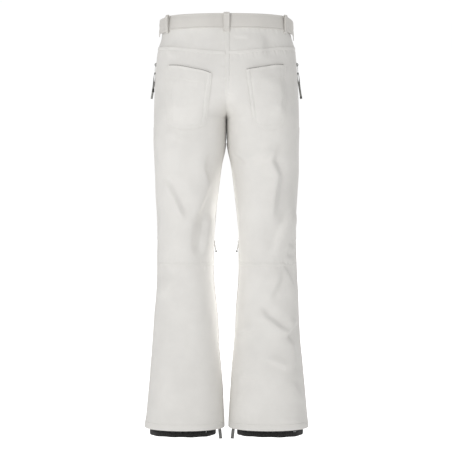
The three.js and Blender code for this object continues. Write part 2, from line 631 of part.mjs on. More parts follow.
for (const [hand, side] of SIDES) {
  const high = GAITER_Z + GAITER_LENGTH;
  const cuff = GAITER_Z + ELASTIC_HEIGHT;
  const taper = [0, 15, 30, 45, GAITER_TAPER].map((drop) => high - drop);
  const levels = [...taper, mix(high - GAITER_TAPER, cuff, 0.5), cuff + SEAM_GAP];
  add(`gaiter_${hand}`, gaiterTube(side, levels, 0, -GAITER_THICKNESS), GAITER);
  const outer = (ELASTIC_THICKNESS - GAITER_THICKNESS) / 2;
  add(`gaiter_elastic_${hand}`, gaiterTube(side, [cuff, GAITER_Z], outer, outer - ELASTIC_THICKNESS), GAITER);
  const hook = add(`gaiter_hook_${hand}`, laceHook(), METAL);
  hook.position.set(side * GAITER_CENTRE, GAITER_FRONT + outer + SEAT_GAP, cuff - 2);
}

export default trousers;
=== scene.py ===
# %% [markdown]
# Ski trousers, made as cloth pieces sewn round an empty body.
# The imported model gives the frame: every level, side and pivot below is read from its boxes,
# so each piece of cloth lies where its plain solid lies.
# %% Load the frame
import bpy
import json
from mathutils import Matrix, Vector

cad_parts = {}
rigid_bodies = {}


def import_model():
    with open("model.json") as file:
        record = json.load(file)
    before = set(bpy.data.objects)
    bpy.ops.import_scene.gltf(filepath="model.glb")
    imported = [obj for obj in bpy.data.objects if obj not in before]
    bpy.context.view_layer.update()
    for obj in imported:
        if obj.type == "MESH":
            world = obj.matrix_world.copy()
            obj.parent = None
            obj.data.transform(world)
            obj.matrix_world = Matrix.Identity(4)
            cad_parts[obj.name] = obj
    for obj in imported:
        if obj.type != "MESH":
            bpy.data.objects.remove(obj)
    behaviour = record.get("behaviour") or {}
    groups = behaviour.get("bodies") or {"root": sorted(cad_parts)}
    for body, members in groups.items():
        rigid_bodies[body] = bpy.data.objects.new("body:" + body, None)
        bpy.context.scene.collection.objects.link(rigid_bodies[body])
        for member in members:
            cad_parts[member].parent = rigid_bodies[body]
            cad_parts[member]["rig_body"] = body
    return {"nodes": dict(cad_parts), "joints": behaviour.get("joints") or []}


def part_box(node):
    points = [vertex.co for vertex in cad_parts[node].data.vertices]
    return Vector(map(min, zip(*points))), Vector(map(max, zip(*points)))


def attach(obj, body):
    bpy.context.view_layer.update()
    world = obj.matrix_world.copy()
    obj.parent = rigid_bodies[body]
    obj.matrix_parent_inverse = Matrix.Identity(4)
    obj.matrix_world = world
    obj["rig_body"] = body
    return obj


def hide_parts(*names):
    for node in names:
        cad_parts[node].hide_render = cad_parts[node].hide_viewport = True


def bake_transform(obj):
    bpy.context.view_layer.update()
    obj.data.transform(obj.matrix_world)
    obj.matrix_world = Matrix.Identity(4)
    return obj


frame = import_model()
print("solids in the frame", len(frame["nodes"]))


# %% [markdown]
# All lengths are in metres, and MM turns millimetres into them. The levels of the waist, the knees
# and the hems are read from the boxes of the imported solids. Only the rise and the dip of the yoke
# are given here, measured down from the top of the waistband.
# %% Lengths and levels
import json
import math
import bpy
import numpy as np

MM = 0.001
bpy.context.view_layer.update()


def low(node):
    """Lowest corner of a node's box, as an array in metres."""
    return np.array(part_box(node)[0])


def high(node):
    """Highest corner of a node's box, as an array in metres."""
    return np.array(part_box(node)[1])


TOP = high("waistband")[2]
BAND_LOW = low("waistband")[2]
YOKE_SIDE = high("back_thigh_right")[2]
KNEE = low("back_thigh_right")[2]
HEM = low("back_calf_right")[2]
FRONT_KNEE = low("front_thigh_right")[2]
FRONT_SHIN = low("front_knee_right")[2]
CUFF = high("gaiter_elastic_right")[2]
GAITER_LOW = low("gaiter_elastic_right")[2]
RISE = 258 * MM
CROTCH = TOP - RISE
YOKE_CENTRE = TOP - 98 * MM
print("levels from the waist down", [round(float(v), 3) for v in (TOP, CROTCH, KNEE, HEM, GAITER_LOW)])

# %% [markdown]
# Materials are node networks. One helper turns a hex colour to linear light, and one adds a node
# with its settings and links, so that each material reads as a short list.
# %% Helpers for materials


def linear(hex_colour, alpha=1.0):
    """sRGB hex to linear: values over 0.04045 follow the 2.4 power curve."""
    values = np.array([int(hex_colour[i:i + 2], 16) / 255 for i in (1, 3, 5)])
    curve = np.where(values > 0.04045, ((values + 0.055) / 1.055) ** 2.4, values / 12.92)
    return (*curve.tolist(), alpha)


def node(tree, kind, settings=None, values=None, links=None):
    """A node of a kind, with its settings, its socket values and what feeds its sockets."""
    made = tree.nodes.new(kind)
    for key, value in (settings or {}).items():
        setattr(made, key, value)
    for key, value in (values or {}).items():
        made.inputs[key].default_value = value
    for key, source in (links or {}).items():
        tree.links.new(source, made.inputs[key])
    return made


def new_material(name):
    """An empty node material: its tree and its principled shader."""
    made = bpy.data.materials.new(name)
    made.use_nodes = True
    return made, made.node_tree, made.node_tree.nodes["Principled BSDF"]


def colour_steps(tree, factor, steps):
    """A colour ramp fed by a factor: (position, colour) steps."""
    ramp = node(tree, "ShaderNodeValToRGB", links={"Fac": factor})
    elements = ramp.color_ramp.elements
    for index, (position, colour) in enumerate(steps):
        element = elements[index] if index < 2 else elements.new(position)
        element.position = position
        element.color = colour
    return ramp


WHITE = linear("#ffffff")
print("white as linear light", WHITE)

# %% [markdown]
# The camera stands level, four metres behind the wearer, at the height of the thighs.
# A long lens keeps the two legs upright. A white floor and a white world give the even, bright
# ground of a product studio. A wide soft light stands a little left of the camera, so the right
# edge of each leg falls into a faint shade, and a weaker one fills that shade. A narrow strip
# between the legs brightens their inner sides, as light thrown back by white paper does.
# %% Camera and light
CAMERA_DISTANCE = 4.0
CAMERA_SHIFT = -1.2 * MM
CAMERA_LEVEL = -512 * MM
FIELD = 1157 * MM
SENSOR = 36.0


def light(name, place, aim, size, power):
    """A rectangular soft light at a place, turned towards a point."""
    lamp = bpy.data.lights.new(name, "AREA")
    lamp.shape = "RECTANGLE"
    lamp.size, lamp.size_y = size
    lamp.energy = power
    holder = bpy.data.objects.new(name, lamp)
    bpy.context.scene.collection.objects.link(holder)
    holder.location = place
    turn = (Vector(aim) - Vector(place)).to_track_quat("-Z", "Y")
    holder.rotation_euler = turn.to_euler()
    return holder


lens = bpy.data.cameras.new("studio_camera")
lens.sensor_width = SENSOR
lens.lens = SENSOR * CAMERA_DISTANCE / FIELD
camera = bpy.data.objects.new("studio_camera", lens)
bpy.context.scene.collection.objects.link(camera)
camera.location = (CAMERA_SHIFT, -CAMERA_DISTANCE, CAMERA_LEVEL)
camera.rotation_euler = (math.pi / 2, 0, 0)
bpy.context.scene.camera = camera
bpy.context.scene.view_settings.view_transform = "Standard"

THIGHS = (0, 0, -0.5)
light("key_light", (-1.9, -3.1, 0.3), THIGHS, (1.5, 2.4), 35)
light("fill_light", (2.2, -2.8, 0.1), THIGHS, (1.5, 2.4), 4)
light("front_light", (0.8, 3.0, 0.6), THIGHS, (2.0, 2.2), 22)
strip = light("strip_between_legs", (0.02, -0.01, -0.66), (-0.5, -0.5, -0.66), (0.03, 0.6), 0.14)
strip.visible_camera = False
print("camera lens", round(lens.lens, 1), "mm")

# %% [markdown]
# The world is white. It lights the cloth at half strength, so that folds keep their shade, and
# shows itself to the camera a little brighter than paper, so that the ground is clean.
# %% World
world = bpy.data.worlds.new("studio_world")
bpy.context.scene.world = world
world.use_nodes = True
sky = world.node_tree
falling_light = sky.nodes["Background"]
falling_light.inputs["Color"].default_value = WHITE
falling_light.inputs["Strength"].default_value = 0.5
seen_light = node(sky, "ShaderNodeBackground", values={"Color": WHITE, "Strength": 1.02})
rays = node(sky, "ShaderNodeLightPath")
chooser = node(sky, "ShaderNodeMixShader", links={
    0: rays.outputs["Is Camera Ray"], 1: falling_light.outputs[0], 2: seen_light.outputs[0]})
sky.links.new(chooser.outputs[0], sky.nodes["World Output"].inputs["Surface"])
print("lights", len(bpy.data.lights), "and a world")

# %% [markdown]
# Shell cloth: a three-layer polyester twill, brushed and coated, so it is matt with a faint
# sheen at grazing angles. The twill's real ribs lie 0.6 mm apart, too fine to show, so they are
# drawn 1.8 mm apart. They follow the cloth's own UV map, which is laid out in metres.
# Large, faint clouds of warmer and cooler white keep the surface from reading as plastic.
# %% Shell cloth material
TWILL_DRAWN = 1.8 * MM
# A wave texture of scale 1 repeats its bands every 0.314 m.
WAVE_REPEAT = 0.314


def shell_cloth(name, light_hex, dark_hex):
    """Brushed polyester twill: matt, clouded, with slanting ribs and soft creases."""
    made, tree, shader = new_material(name)
    place = node(tree, "ShaderNodeTexCoord")
    clouds = node(tree, "ShaderNodeTexNoise", values={"Scale": 9.0, "Detail": 5.0, "Roughness": 0.6},
                  links={"Vector": place.outputs["Object"]})
    tint = colour_steps(tree, clouds.outputs["Fac"],
                        [(0.32, linear(dark_hex)), (0.66, linear(light_hex))])
    slant = node(tree, "ShaderNodeMapping", values={"Rotation": (0, 0, math.radians(63))},
                 links={"Vector": place.outputs["UV"]})
    twill = node(tree, "ShaderNodeTexWave", {"wave_type": "BANDS", "bands_direction": "X"},
                 {"Scale": WAVE_REPEAT / TWILL_DRAWN, "Distortion": 0.4, "Detail": 1.0},
                 {"Vector": slant.outputs["Vector"]})
    nap = node(tree, "ShaderNodeTexNoise", values={"Scale": 260.0, "Detail": 3.0},
               links={"Vector": place.outputs["Object"]})
    puckers = node(tree, "ShaderNodeTexNoise", values={"Scale": 34.0, "Detail": 2.0},
                   links={"Vector": place.outputs["Object"]})
    fine = node(tree, "ShaderNodeBump", values={"Strength": 0.35, "Distance": 0.06 * MM},
                links={"Height": twill.outputs["Fac"]})
    brushed = node(tree, "ShaderNodeBump", values={"Strength": 0.25, "Distance": 0.1 * MM},
                   links={"Height": nap.outputs["Fac"], "Normal": fine.outputs["Normal"]})
    soft = node(tree, "ShaderNodeBump", values={"Strength": 0.3, "Distance": 1.2 * MM},
                links={"Height": puckers.outputs["Fac"], "Normal": brushed.outputs["Normal"]})
    matt = node(tree, "ShaderNodeMapRange", values={"To Min": 0.72, "To Max": 0.9},
                links={"Value": nap.outputs["Fac"]})
    tree.links.new(tint.outputs["Color"], shader.inputs["Base Color"])
    tree.links.new(matt.outputs["Result"], shader.inputs["Roughness"])
    tree.links.new(soft.outputs["Normal"], shader.inputs["Normal"])
    shader.inputs["Specular IOR Level"].default_value = 0.3
    shader.inputs["Sheen Weight"].default_value = 0.12
    shader.inputs["Sheen Roughness"].default_value = 0.5
    return made


# Off-white twill for the legs: matt and warm, with no gloss even at its edges.
CLOTH = shell_cloth("coated_polyester_twill", "#eae8e4", "#e2e0dc")
# The same twill for the waistband, loops and side tabs, a shade greyer all over.
BAND_CLOTH = shell_cloth("waistband_twill", "#dedbd6", "#d6d3ce")
print("materials", CLOTH.name, BAND_CLOTH.name)

# %% [markdown]
# The other finishes are woven, knitted, moulded or cast. Two crossed waves make a weave, whose
# threads follow the piece's own UV map. Real threads here lie well under a millimetre apart, too
# fine to show, so each pitch is drawn as coarse as it needs to be. Cast metal needs no weave, only
# faint marks from handling.
# %% Other materials


def woven(name, light_hex, dark_hex, pitch, height, roughness, sheen=0.0, cloud=14.0):
    """Plain weave: two crossed waves on the UV map give threads pitch apart."""
    made, tree, shader = new_material(name)
    place = node(tree, "ShaderNodeTexCoord")
    clouds = node(tree, "ShaderNodeTexNoise", values={"Scale": cloud, "Detail": 4.0},
                  links={"Vector": place.outputs["Object"]})
    waves = [node(tree, "ShaderNodeTexWave", {"wave_type": "BANDS", "bands_direction": axis},
                  {"Scale": WAVE_REPEAT / pitch, "Distortion": 0.2},
                  {"Vector": place.outputs["UV"]}) for axis in "XY"]
    cross = node(tree, "ShaderNodeMath", {"operation": "MAXIMUM"},
                 links={0: waves[0].outputs["Fac"], 1: waves[1].outputs["Fac"]})
    shade = node(tree, "ShaderNodeMath", {"operation": "MULTIPLY_ADD", "use_clamp": True}, {1: 0.35},
                 {0: cross.outputs[0], 2: clouds.outputs["Fac"]})
    tint = colour_steps(tree, shade.outputs[0], [(0.35, linear(dark_hex)), (0.95, linear(light_hex))])
    bump = node(tree, "ShaderNodeBump", values={"Strength": 0.6, "Distance": height},
                links={"Height": cross.outputs[0]})
    tree.links.new(tint.outputs["Color"], shader.inputs["Base Color"])
    tree.links.new(bump.outputs["Normal"], shader.inputs["Normal"])
    shader.inputs["Roughness"].default_value = roughness
    shader.inputs["Sheen Weight"].default_value = sheen
    return made


def cast_metal(name, light_hex, dark_hex, roughness):
    """Plated die-cast zinc: metal with faint handling marks."""
    made, tree, shader = new_material(name)
    place = node(tree, "ShaderNodeTexCoord")
    marks = node(tree, "ShaderNodeTexNoise", values={"Scale": 400.0, "Detail": 4.0},
                 links={"Vector": place.outputs["Object"]})
    tint = colour_steps(tree, marks.outputs["Fac"], [(0.3, linear(dark_hex)), (0.7, linear(light_hex))])
    worn = node(tree, "ShaderNodeMapRange",
                values={"To Min": roughness - 0.1, "To Max": roughness + 0.15},
                links={"Value": marks.outputs["Fac"]})
    bump = node(tree, "ShaderNodeBump", values={"Strength": 0.2, "Distance": 0.05 * MM},
                links={"Height": marks.outputs["Fac"]})
    tree.links.new(tint.outputs["Color"], shader.inputs["Base Color"])
    tree.links.new(worn.outputs["Result"], shader.inputs["Roughness"])
    tree.links.new(bump.outputs["Normal"], shader.inputs["Normal"])
    shader.inputs["Metallic"].default_value = 1.0
    return made


# Lining: smooth taffeta, pale and slightly lustrous.
LINING = woven("polyester_taffeta_lining", "#d9d8d5", "#cfcecb", 1.6 * MM, 0.05 * MM, 0.55, 0.1)
# Gaiters: coated ripstop, whose raised grid of thicker threads catches the light.
NYLON = woven("black_ripstop_nylon", "#1c1b19", "#11110f", 5 * MM, 0.25 * MM, 0.6, 0.2)
# Gaiter hems: black knitted elastic, deeply ribbed. Its colour is painted a little darker than the black
# nylon, as painted shade in its ribs.
ELASTIC = woven("black_knitted_elastic", "#191816", "#0e0e0d", 2.4 * MM, 0.5 * MM, 0.85, 0.3)
# Zip tape: a dense, matt weave, a little greyer than the shell.
TAPE = woven("woven_zip_tape", "#e0dfdb", "#cfcec9", 1.5 * MM, 0.12 * MM, 0.8, 0.1)
# Teeth: moulded nylon, smooth and faintly shiny.
COIL = woven("moulded_nylon_coil", "#d6d5d0", "#c9c8c3", 3 * MM, 0.02 * MM, 0.45)
# Pulls: grey webbing with coarse, visible threads.
WEBBING = woven("grey_woven_webbing", "#a9a9a6", "#8b8b88", 1.8 * MM, 0.25 * MM, 0.75, 0.15)
# Side pads: hook-and-loop tape, rough enough to look furry.
HOOKS = woven("hook_and_loop_tape", "#b9b8b4", "#8d8c88", 2.2 * MM, 0.6 * MM, 0.9, 0.3)
# Topstitching: twisted thread, a touch lighter than the cloth.
THREAD = woven("spun_polyester_thread", "#efeeea", "#dcdbd6", 0.8 * MM, 0.08 * MM, 0.6)
# Sliders, snaps and hooks: die-cast zinc with a satin nickel plating.
NICKEL = cast_metal("satin_nickel_zinc", "#9c9c9a", "#83837f", 0.38)
print("materials", len(bpy.data.materials))

# %% [markdown]
# Every cloth surface here is a grid of points. A helper gives a grid its faces, and another
# closes two grids, an outer and an inner one, into a wall of cloth with turned edges. Cells can
# be left out, which makes the slots that the zips are sewn into.
# %% Helpers for meshes


def new_piece(name, points, faces, materials, body, uv=None, which=None, sharp=40):
    """A mesh object from points (n, 3) and quads (m, 4); faces that meet past sharp degrees are hard."""
    mesh = bpy.data.meshes.new(name)
    points = np.asarray(points, np.float32).reshape(-1, 3)
    faces = np.asarray(faces, np.int32)
    mesh.vertices.add(len(points))
    mesh.vertices.foreach_set("co", points.ravel())
    mesh.loops.add(faces.size)
    mesh.loops.foreach_set("vertex_index", faces.ravel())
    mesh.polygons.add(len(faces))
    mesh.polygons.foreach_set("loop_start", np.arange(0, faces.size, 4, dtype=np.int32))
    if which is not None:
        mesh.polygons.foreach_set("material_index", np.asarray(which, np.int32))
    mesh.update(calc_edges=True)
    if uv is not None:
        layer = mesh.uv_layers.new(name="UVMap")
        layer.data.foreach_set("uv", np.asarray(uv, np.float32)[faces.ravel()].ravel())
    mesh.polygons.foreach_set("use_smooth", np.ones(len(faces), bool))
    mesh.set_sharp_from_angle(angle=math.radians(sharp))
    for material in materials:
        mesh.materials.append(material)
    piece = bpy.data.objects.new(name, mesh)
    bpy.context.scene.collection.objects.link(piece)
    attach(piece, body)
    return piece


def faces_out(quads, points, outwards):
    """Whether quads on the whole face along outwards, one vector for each: the sum of the dot
    products with the cross product of each quad's diagonals is positive."""
    a, b, c, d = (points[quads[:, i]] for i in range(4))
    return (np.cross(c - a, d - b) * outwards).sum() > 0


def wall(outer, inner, uv, ring=False, keep=None):
    """Closed wall between two grids (rows, columns, 3): their faces and a rim wherever a kept
    cell has no kept neighbour. Gives points, quads, uv, and 1 for each inner face."""
    rows, columns = outer.shape[:2]
    last = columns if ring else columns - 1
    r, c = np.meshgrid(np.arange(rows - 1), np.arange(last), indexing="ij")
    keep = np.ones(r.shape, bool) if keep is None else keep
    n = (c + 1) % columns
    this, below = r * columns, (r + 1) * columns
    corner = np.stack([this + c, below + c, below + n, this + n], -1)
    top = corner[keep]
    points = np.concatenate([outer.reshape(-1, 3), inner.reshape(-1, 3)])
    shift = rows * columns
    outwards = (outer - inner).reshape(-1, 3)
    order = [0, 1, 2, 3] if faces_out(top, outer.reshape(-1, 3), outwards[top[:, 0]]) else [3, 2, 1, 0]
    around = np.zeros((keep.shape[0] + 2, keep.shape[1] + 2), bool)
    around[1:-1, 1:-1] = keep
    if ring:
        around[1:-1, 0] = keep[:, -1]
        around[1:-1, -1] = keep[:, 0]
    sides = [(around[1:-1, :-2], 0, 1), (around[2:, 1:-1], 1, 2), (around[1:-1, 2:], 2, 3),
             (around[:-2, 1:-1], 3, 0)]
    quads = [top[:, order], top[:, order][:, ::-1] + shift]
    which = [np.zeros(keep.sum()), np.ones(keep.sum())]
    for neighbour, i, j in sides:
        edge = corner[keep & ~neighbour]
        a, b = (edge[:, i], edge[:, j]) if order[0] == 0 else (edge[:, j], edge[:, i])
        quads.append(np.stack([b, a, a + shift, b + shift], -1))
        which.append(np.zeros(len(edge)))
    quads = np.concatenate(quads)
    used, index = np.unique(quads, return_inverse=True)
    uvs = np.concatenate([uv.reshape(-1, 2)] * 2)
    return points[used], index.reshape(quads.shape), uvs[used], np.concatenate(which)


def cloth_piece(name, outer, inner, uv, body, materials, ring=False, keep=None):
    """A wall of cloth as an object: the first material outside, the second inside."""
    points, quads, uvs, which = wall(outer, inner, uv, ring, keep)
    return new_piece(name, points, quads, materials, body, uvs,
                     which if len(materials) > 1 else None)


print("a wall has an outer face, an inner face and a rim")

# %% [markdown]
# A sheet's grid lies on its finished shape, so its longest row and column are the width and length that the
# cutter needs. Lines of a grid are set closer beside a seam or a slot, where the cloth bends most.
# %% Grid lines


def cut_from(piece):
    """Gives the piece back as it is."""
    return piece


def graded(knots, step, fine):
    """Positions from the first knot to the last, step apart, with two lines near each knot."""
    parts = []
    for start, end in zip(knots[:-1], knots[1:]):
        length = end - start
        count = max(2, int(round(length / step)))
        inside = np.linspace(start, end, count + 1)
        near = [start + fine, start + 2 * fine, end - 2 * fine, end - fine]
        parts += [inside, [v for v in near if start < v < end and length > 8 * fine]]
    return np.unique(np.round(np.concatenate(parts), 7))


print("grid lines from 0 to 10 mm", len(graded([0, 10 * MM], 2 * MM, 0.5 * MM)))

# %% [markdown]
# The trousers' surface is two lofted tubes, one for each leg. At each level a leg's outline is
# a super-ellipse: |x/a|^p + |y/b|^p = 1. Above the crotch the tubes run into each other until
# they share one outline at the waist. The widths and depths change smoothly with the level,
# along curves that never overshoot their stations, so the cloth has no bulges between them.
# %% The trousers' surface


def smooth_profile(stations):
    """Curve through (level, value) stations in mm: cubic pieces whose slopes are the harmonic
    means of the neighbouring chords, so it never overshoots. It takes and gives metres."""
    level, value = np.array(sorted(stations)).T * MM
    chord = np.diff(value) / np.diff(level)
    product = chord[:-1] * chord[1:]
    total = chord[:-1] + chord[1:]
    inner = np.where(product > 0, 2 * product / np.where(total == 0, 1, total), 0)
    slope = np.concatenate([chord[:1], inner, chord[-1:]])

    def at(z):
        z = np.clip(z, level[0], level[-1])
        i = np.clip(np.searchsorted(level, z, side="right") - 1, 0, len(level) - 2)
        span = level[i + 1] - level[i]
        t = (z - level[i]) / span
        rise = value[i] * (2 * t**3 - 3 * t**2 + 1) + value[i + 1] * (3 * t**2 - 2 * t**3)
        return rise + span * (slope[i] * (t**3 - 2 * t**2 + t) + slope[i + 1] * (t**3 - t**2))

    return at


HALF_WIDTH = smooth_profile([(18, 160), (-18, 163), (-84, 178), (-250, 185.5), (-559, 177.5),
                             (-775.4, 188), (-1025, 209)])
HALF_GAP = smooth_profile([(-240, 0.15), (-292, 0.9), (-314, 3.0), (-353, 11), (-435, 22), (-549, 32),
                           (-808.7, 20), (-1025, 5.5)])
DEPTH = {"back": smooth_profile([(18, 112), (-60, 122), (-155, 138), (-350, 108), (-450, 98),
                                 (-609, 89), (-1025, 96)]),
         "front": smooth_profile([(18, 108), (-190, 114), (-350, 97), (-609, 90), (-1025, 92)])}
OVERLAP = smooth_profile([(18, 0), (-40, 0), (-84, 0.12), (-130, 0.21), (-170, 0.37), (-200, 0.59),
                          (-222, 0.87), (-233, 0.97), (-240, 1)])
SQUARENESS = smooth_profile([(18, 2350), (-240, 2350), (-609, 2100), (-1025, 2100)])
SEAM_GAP = 0.15 * MM


def stacked(*coordinates):
    """Coordinates whose shapes match by broadcasting, as one array of points."""
    return np.stack(np.broadcast_arrays(*coordinates), -1)


def unit(vectors):
    """Vectors of the same direction and of length one."""
    return vectors / np.maximum(np.linalg.norm(vectors, axis=-1, keepdims=True), 1e-12)


def section(z, face):
    """Centre, half width, depth and exponent of a leg's outline at each level z."""
    width, gap = HALF_WIDTH(z), HALF_GAP(z)
    overlap = np.where(z > CROTCH, OVERLAP(z) / MM, (width + gap) / (width - gap))
    return overlap * width / (1 + overlap), width / (1 + overlap), DEPTH[face](z), SQUARENESS(z)


def signed_power(value, power):
    """Power of the size, with the sign kept."""
    return np.sign(value) * np.abs(value) ** power


def bare_point(side, face, share, z, out=0.0):
    """Point of the surface: share 0 is the side seam, 1 the centre seam or the inseam. The angle
    round the outline is share times the angle at which the outline reaches the centre plane."""
    centre, across, depth, power = section(z, face)
    reach = np.clip((SEAM_GAP - centre) / across, -1, 1)
    angle = share * np.arccos(signed_power(reach, power / 2))
    x = centre + (across + out) * signed_power(np.cos(angle), 2 / power)
    y = (depth + out) * np.sin(np.clip(angle, 0, math.pi)) ** (2 / power) + SEAM_GAP
    y = -y if face == "back" else y
    return stacked(side * np.maximum(x, 0), y, z)


def bare_normal(side, face, share, z):
    """Level outward direction: the gradient of the super-ellipse at the same point."""
    centre, across, depth, power = section(z, face)
    point = bare_point(1, face, share, z)
    x = signed_power((point[..., 0] - centre) / across, power - 1) / across
    y = ((np.abs(point[..., 1]) - SEAM_GAP).clip(0) / depth) ** (power - 1) / depth
    y = -y if face == "back" else y
    return unit(stacked(side * x, y, np.zeros_like(x)))


print("half width at the crotch", round(float(HALF_WIDTH(CROTCH)), 4), "m")

# %% [markdown]
# A share is an angle, so even shares are not even lengths of cloth: they crowd at the sides. A
# table of arc lengths, worked out once for each face, turns an even part of the way round into
# its share, so that grid lines, seams and zips are spaced as on flat cloth.
# %% Even parts of the way round
LEVELS = np.linspace(HEM - 5 * MM, TOP + 5 * MM, 260)
FINE_SHARES = np.linspace(0, 1, 241) ** 1.15


def arc_lengths(face):
    """Length round the outline from the side seam to each fine share, at each level."""
    points = bare_point(1, face, FINE_SHARES[None, :], LEVELS[:, None])
    steps = np.linalg.norm(np.diff(points, axis=1), axis=-1)
    return np.concatenate([np.zeros((len(LEVELS), 1)), np.cumsum(steps, axis=1)], axis=1)


ARC = {face: arc_lengths(face) for face in ("back", "front")}
ARC_SHARES = np.linspace(0, 1, 161)
SHARE_TABLE = {face: np.stack([np.interp(ARC_SHARES * row[-1], row, FINE_SHARES) for row in lengths])
               for face, lengths in ARC.items()}


def width_round(face, z):
    """Length of cloth from the side seam to the centre seam or inseam, at level z."""
    return np.interp(z, LEVELS, ARC[face][:, -1])


def share_of(face, part, z):
    """Share at an even part of the way round, read from a table between its four nearest."""
    table = SHARE_TABLE[face]
    row = np.clip((z - LEVELS[0]) / (LEVELS[1] - LEVELS[0]), 0, len(LEVELS) - 1.001)
    column = np.clip(part, 0, 1) * (len(ARC_SHARES) - 1.001)
    i, j = row.astype(int), column.astype(int)
    u, v = row - i, column - j
    return ((1 - u) * (1 - v) * table[i, j] + (1 - u) * v * table[i, j + 1]
            + u * (1 - v) * table[i + 1, j] + u * v * table[i + 1, j + 1])


def share_at_x(face, x, z):
    """Share at which the surface lies x from the centre plane."""
    centre, across, _, power = section(z, face)
    reach = np.clip((SEAM_GAP - centre) / across, -1, 1)
    angle = np.arccos(signed_power(np.clip((x - centre) / across, -1, 1), power / 2))
    return angle / np.arccos(signed_power(reach, power / 2))


knee_round = float(width_round("back", KNEE) + width_round("front", KNEE))
print("cloth round one leg at the knee", round(knee_round, 3), "m")

# %% [markdown]
# Real cloth never hangs as a perfect tube. Folds are added as heights over the surface: each is
# a ridge along a line, with a hollow beside it, fading at both ends. Broad, shallow waves of
# random direction give the slackness between them. Near a zip the heights fade away, because
# a zip holds the cloth straight. A simulation would give folds too, but not these ones in
# these places, so they are drawn as a pattern cutter would mark them.
# %% Folds


def smooth(value, start, end):
    """0 before start, 1 after end, and a smooth S between."""
    t = np.clip((value - start) / (end - start), 0, 1)
    return t * t * (3 - 2 * t)


def crease(x, z, path, width, height, hollow=0.7):
    """Ridge along a bent line with a hollow on its right: a bell across it, gentle on the left
    and steep on the right, less a second lopsided bell beside it, fading over the last third at
    each end. For each point the nearest stretch of the line counts. Lengths are in mm."""
    path = np.array(path, float) * MM
    way = np.diff(path, axis=0)
    lengths = np.hypot(*way.T)
    starts = np.concatenate([[0], np.cumsum(lengths)[:-1]])
    best, beside, along = np.full(x.shape, np.inf), np.zeros(x.shape), np.zeros(x.shape)
    for a, d, length, start in zip(path[:-1], way, lengths, starts):
        t = ((x - a[0]) * d[0] + (z - a[1]) * d[1]) / length**2
        held = np.clip(t, 0, 1)
        far = np.hypot(x - a[0] - held * d[0], z - a[1] - held * d[1])
        across = ((x - a[0]) * d[1] - (z - a[1]) * d[0]) / length
        nearer = far < best
        best = np.where(nearer, far, best)
        beside = np.where(nearer, np.copysign(far, across), beside)
        along = np.where(nearer, start + held * length, along)
    side = beside / (width * MM)
    ridge = np.exp(-((side / np.where(side < 0, 2.2, 0.8)) ** 2))
    bell = ridge - 0.8 * hollow * np.exp(-(((side - 1.8) / np.where(side < 1.8, 0.9, 2.6)) ** 2))
    part = along / lengths.sum()
    return 1.45 * height * MM * bell * smooth(part, 0.0, 0.3) * smooth(-part, -1.0, -0.7)


def slack(points, size, seed, waves=10):
    """Random waves about size long: the mean of sines in random directions through space."""
    random = np.random.default_rng(seed)
    way = random.normal(size=(waves, 3)) * np.array([1, 1, 0.6])
    way = unit(way) * 2 * math.pi / size
    way = way * random.uniform(0.7, 1.4, (waves, 1))
    phase = random.uniform(0, 2 * math.pi, waves)
    return np.sin(points @ way.T + phase).sum(-1) / math.sqrt(waves)


print("random waves at the origin", round(float(slack(np.zeros((1, 3)), 0.17, 3)[0]), 2))

# %% [markdown]
# The folds themselves, listed one by one: the line of (x, z) places in millimetres that it follows, its half
# width, its height, and how deep its hollow is. Those of the right leg are short facets that cross each
# other. Those of the left leg are longer and softer. Low down the cloth is heavy and hangs nearly straight.
# %% Where the folds lie
LEFT_BACK_FOLDS = [
    (((-104, -506), (-130, -445), (-160, -386)), 8, 4.2, 1.0),
    (((-37, -476), (-47, -530), (-56, -596)), 9, 4.6, 1.0),
    (((-84, -524), (-78, -482), (-64, -452), (-46, -408), (-60, -372), (-50, -314)), 9, 3.6, 1.0),
    (((-120, -352), (-112, -420), (-118, -520)), 24, 2.2, 0.3),
    (((-88, -600), (-92, -540), (-84, -478)), 12, 2.0, 0.6),
    (((-176, -700), (-150, -664), (-128, -640)), 10, 2.2, 0.5),
    (((-64, -690), (-76, -780), (-72, -880)), 26, 2.4, 0.4),
    (((-148, -830), (-138, -900), (-146, -985)), 26, 2.0, 0.4),
    (((-116, -252), (-122, -190), (-112, -120)), 20, 2.2, 0.5),
    (((-150, -60), (-136, -80), (-118, -96)), 8, 1.6, 0.6),
    (((-150, -268), (-120, -290), (-84, -300)), 10, 2.0, 0.6),
]
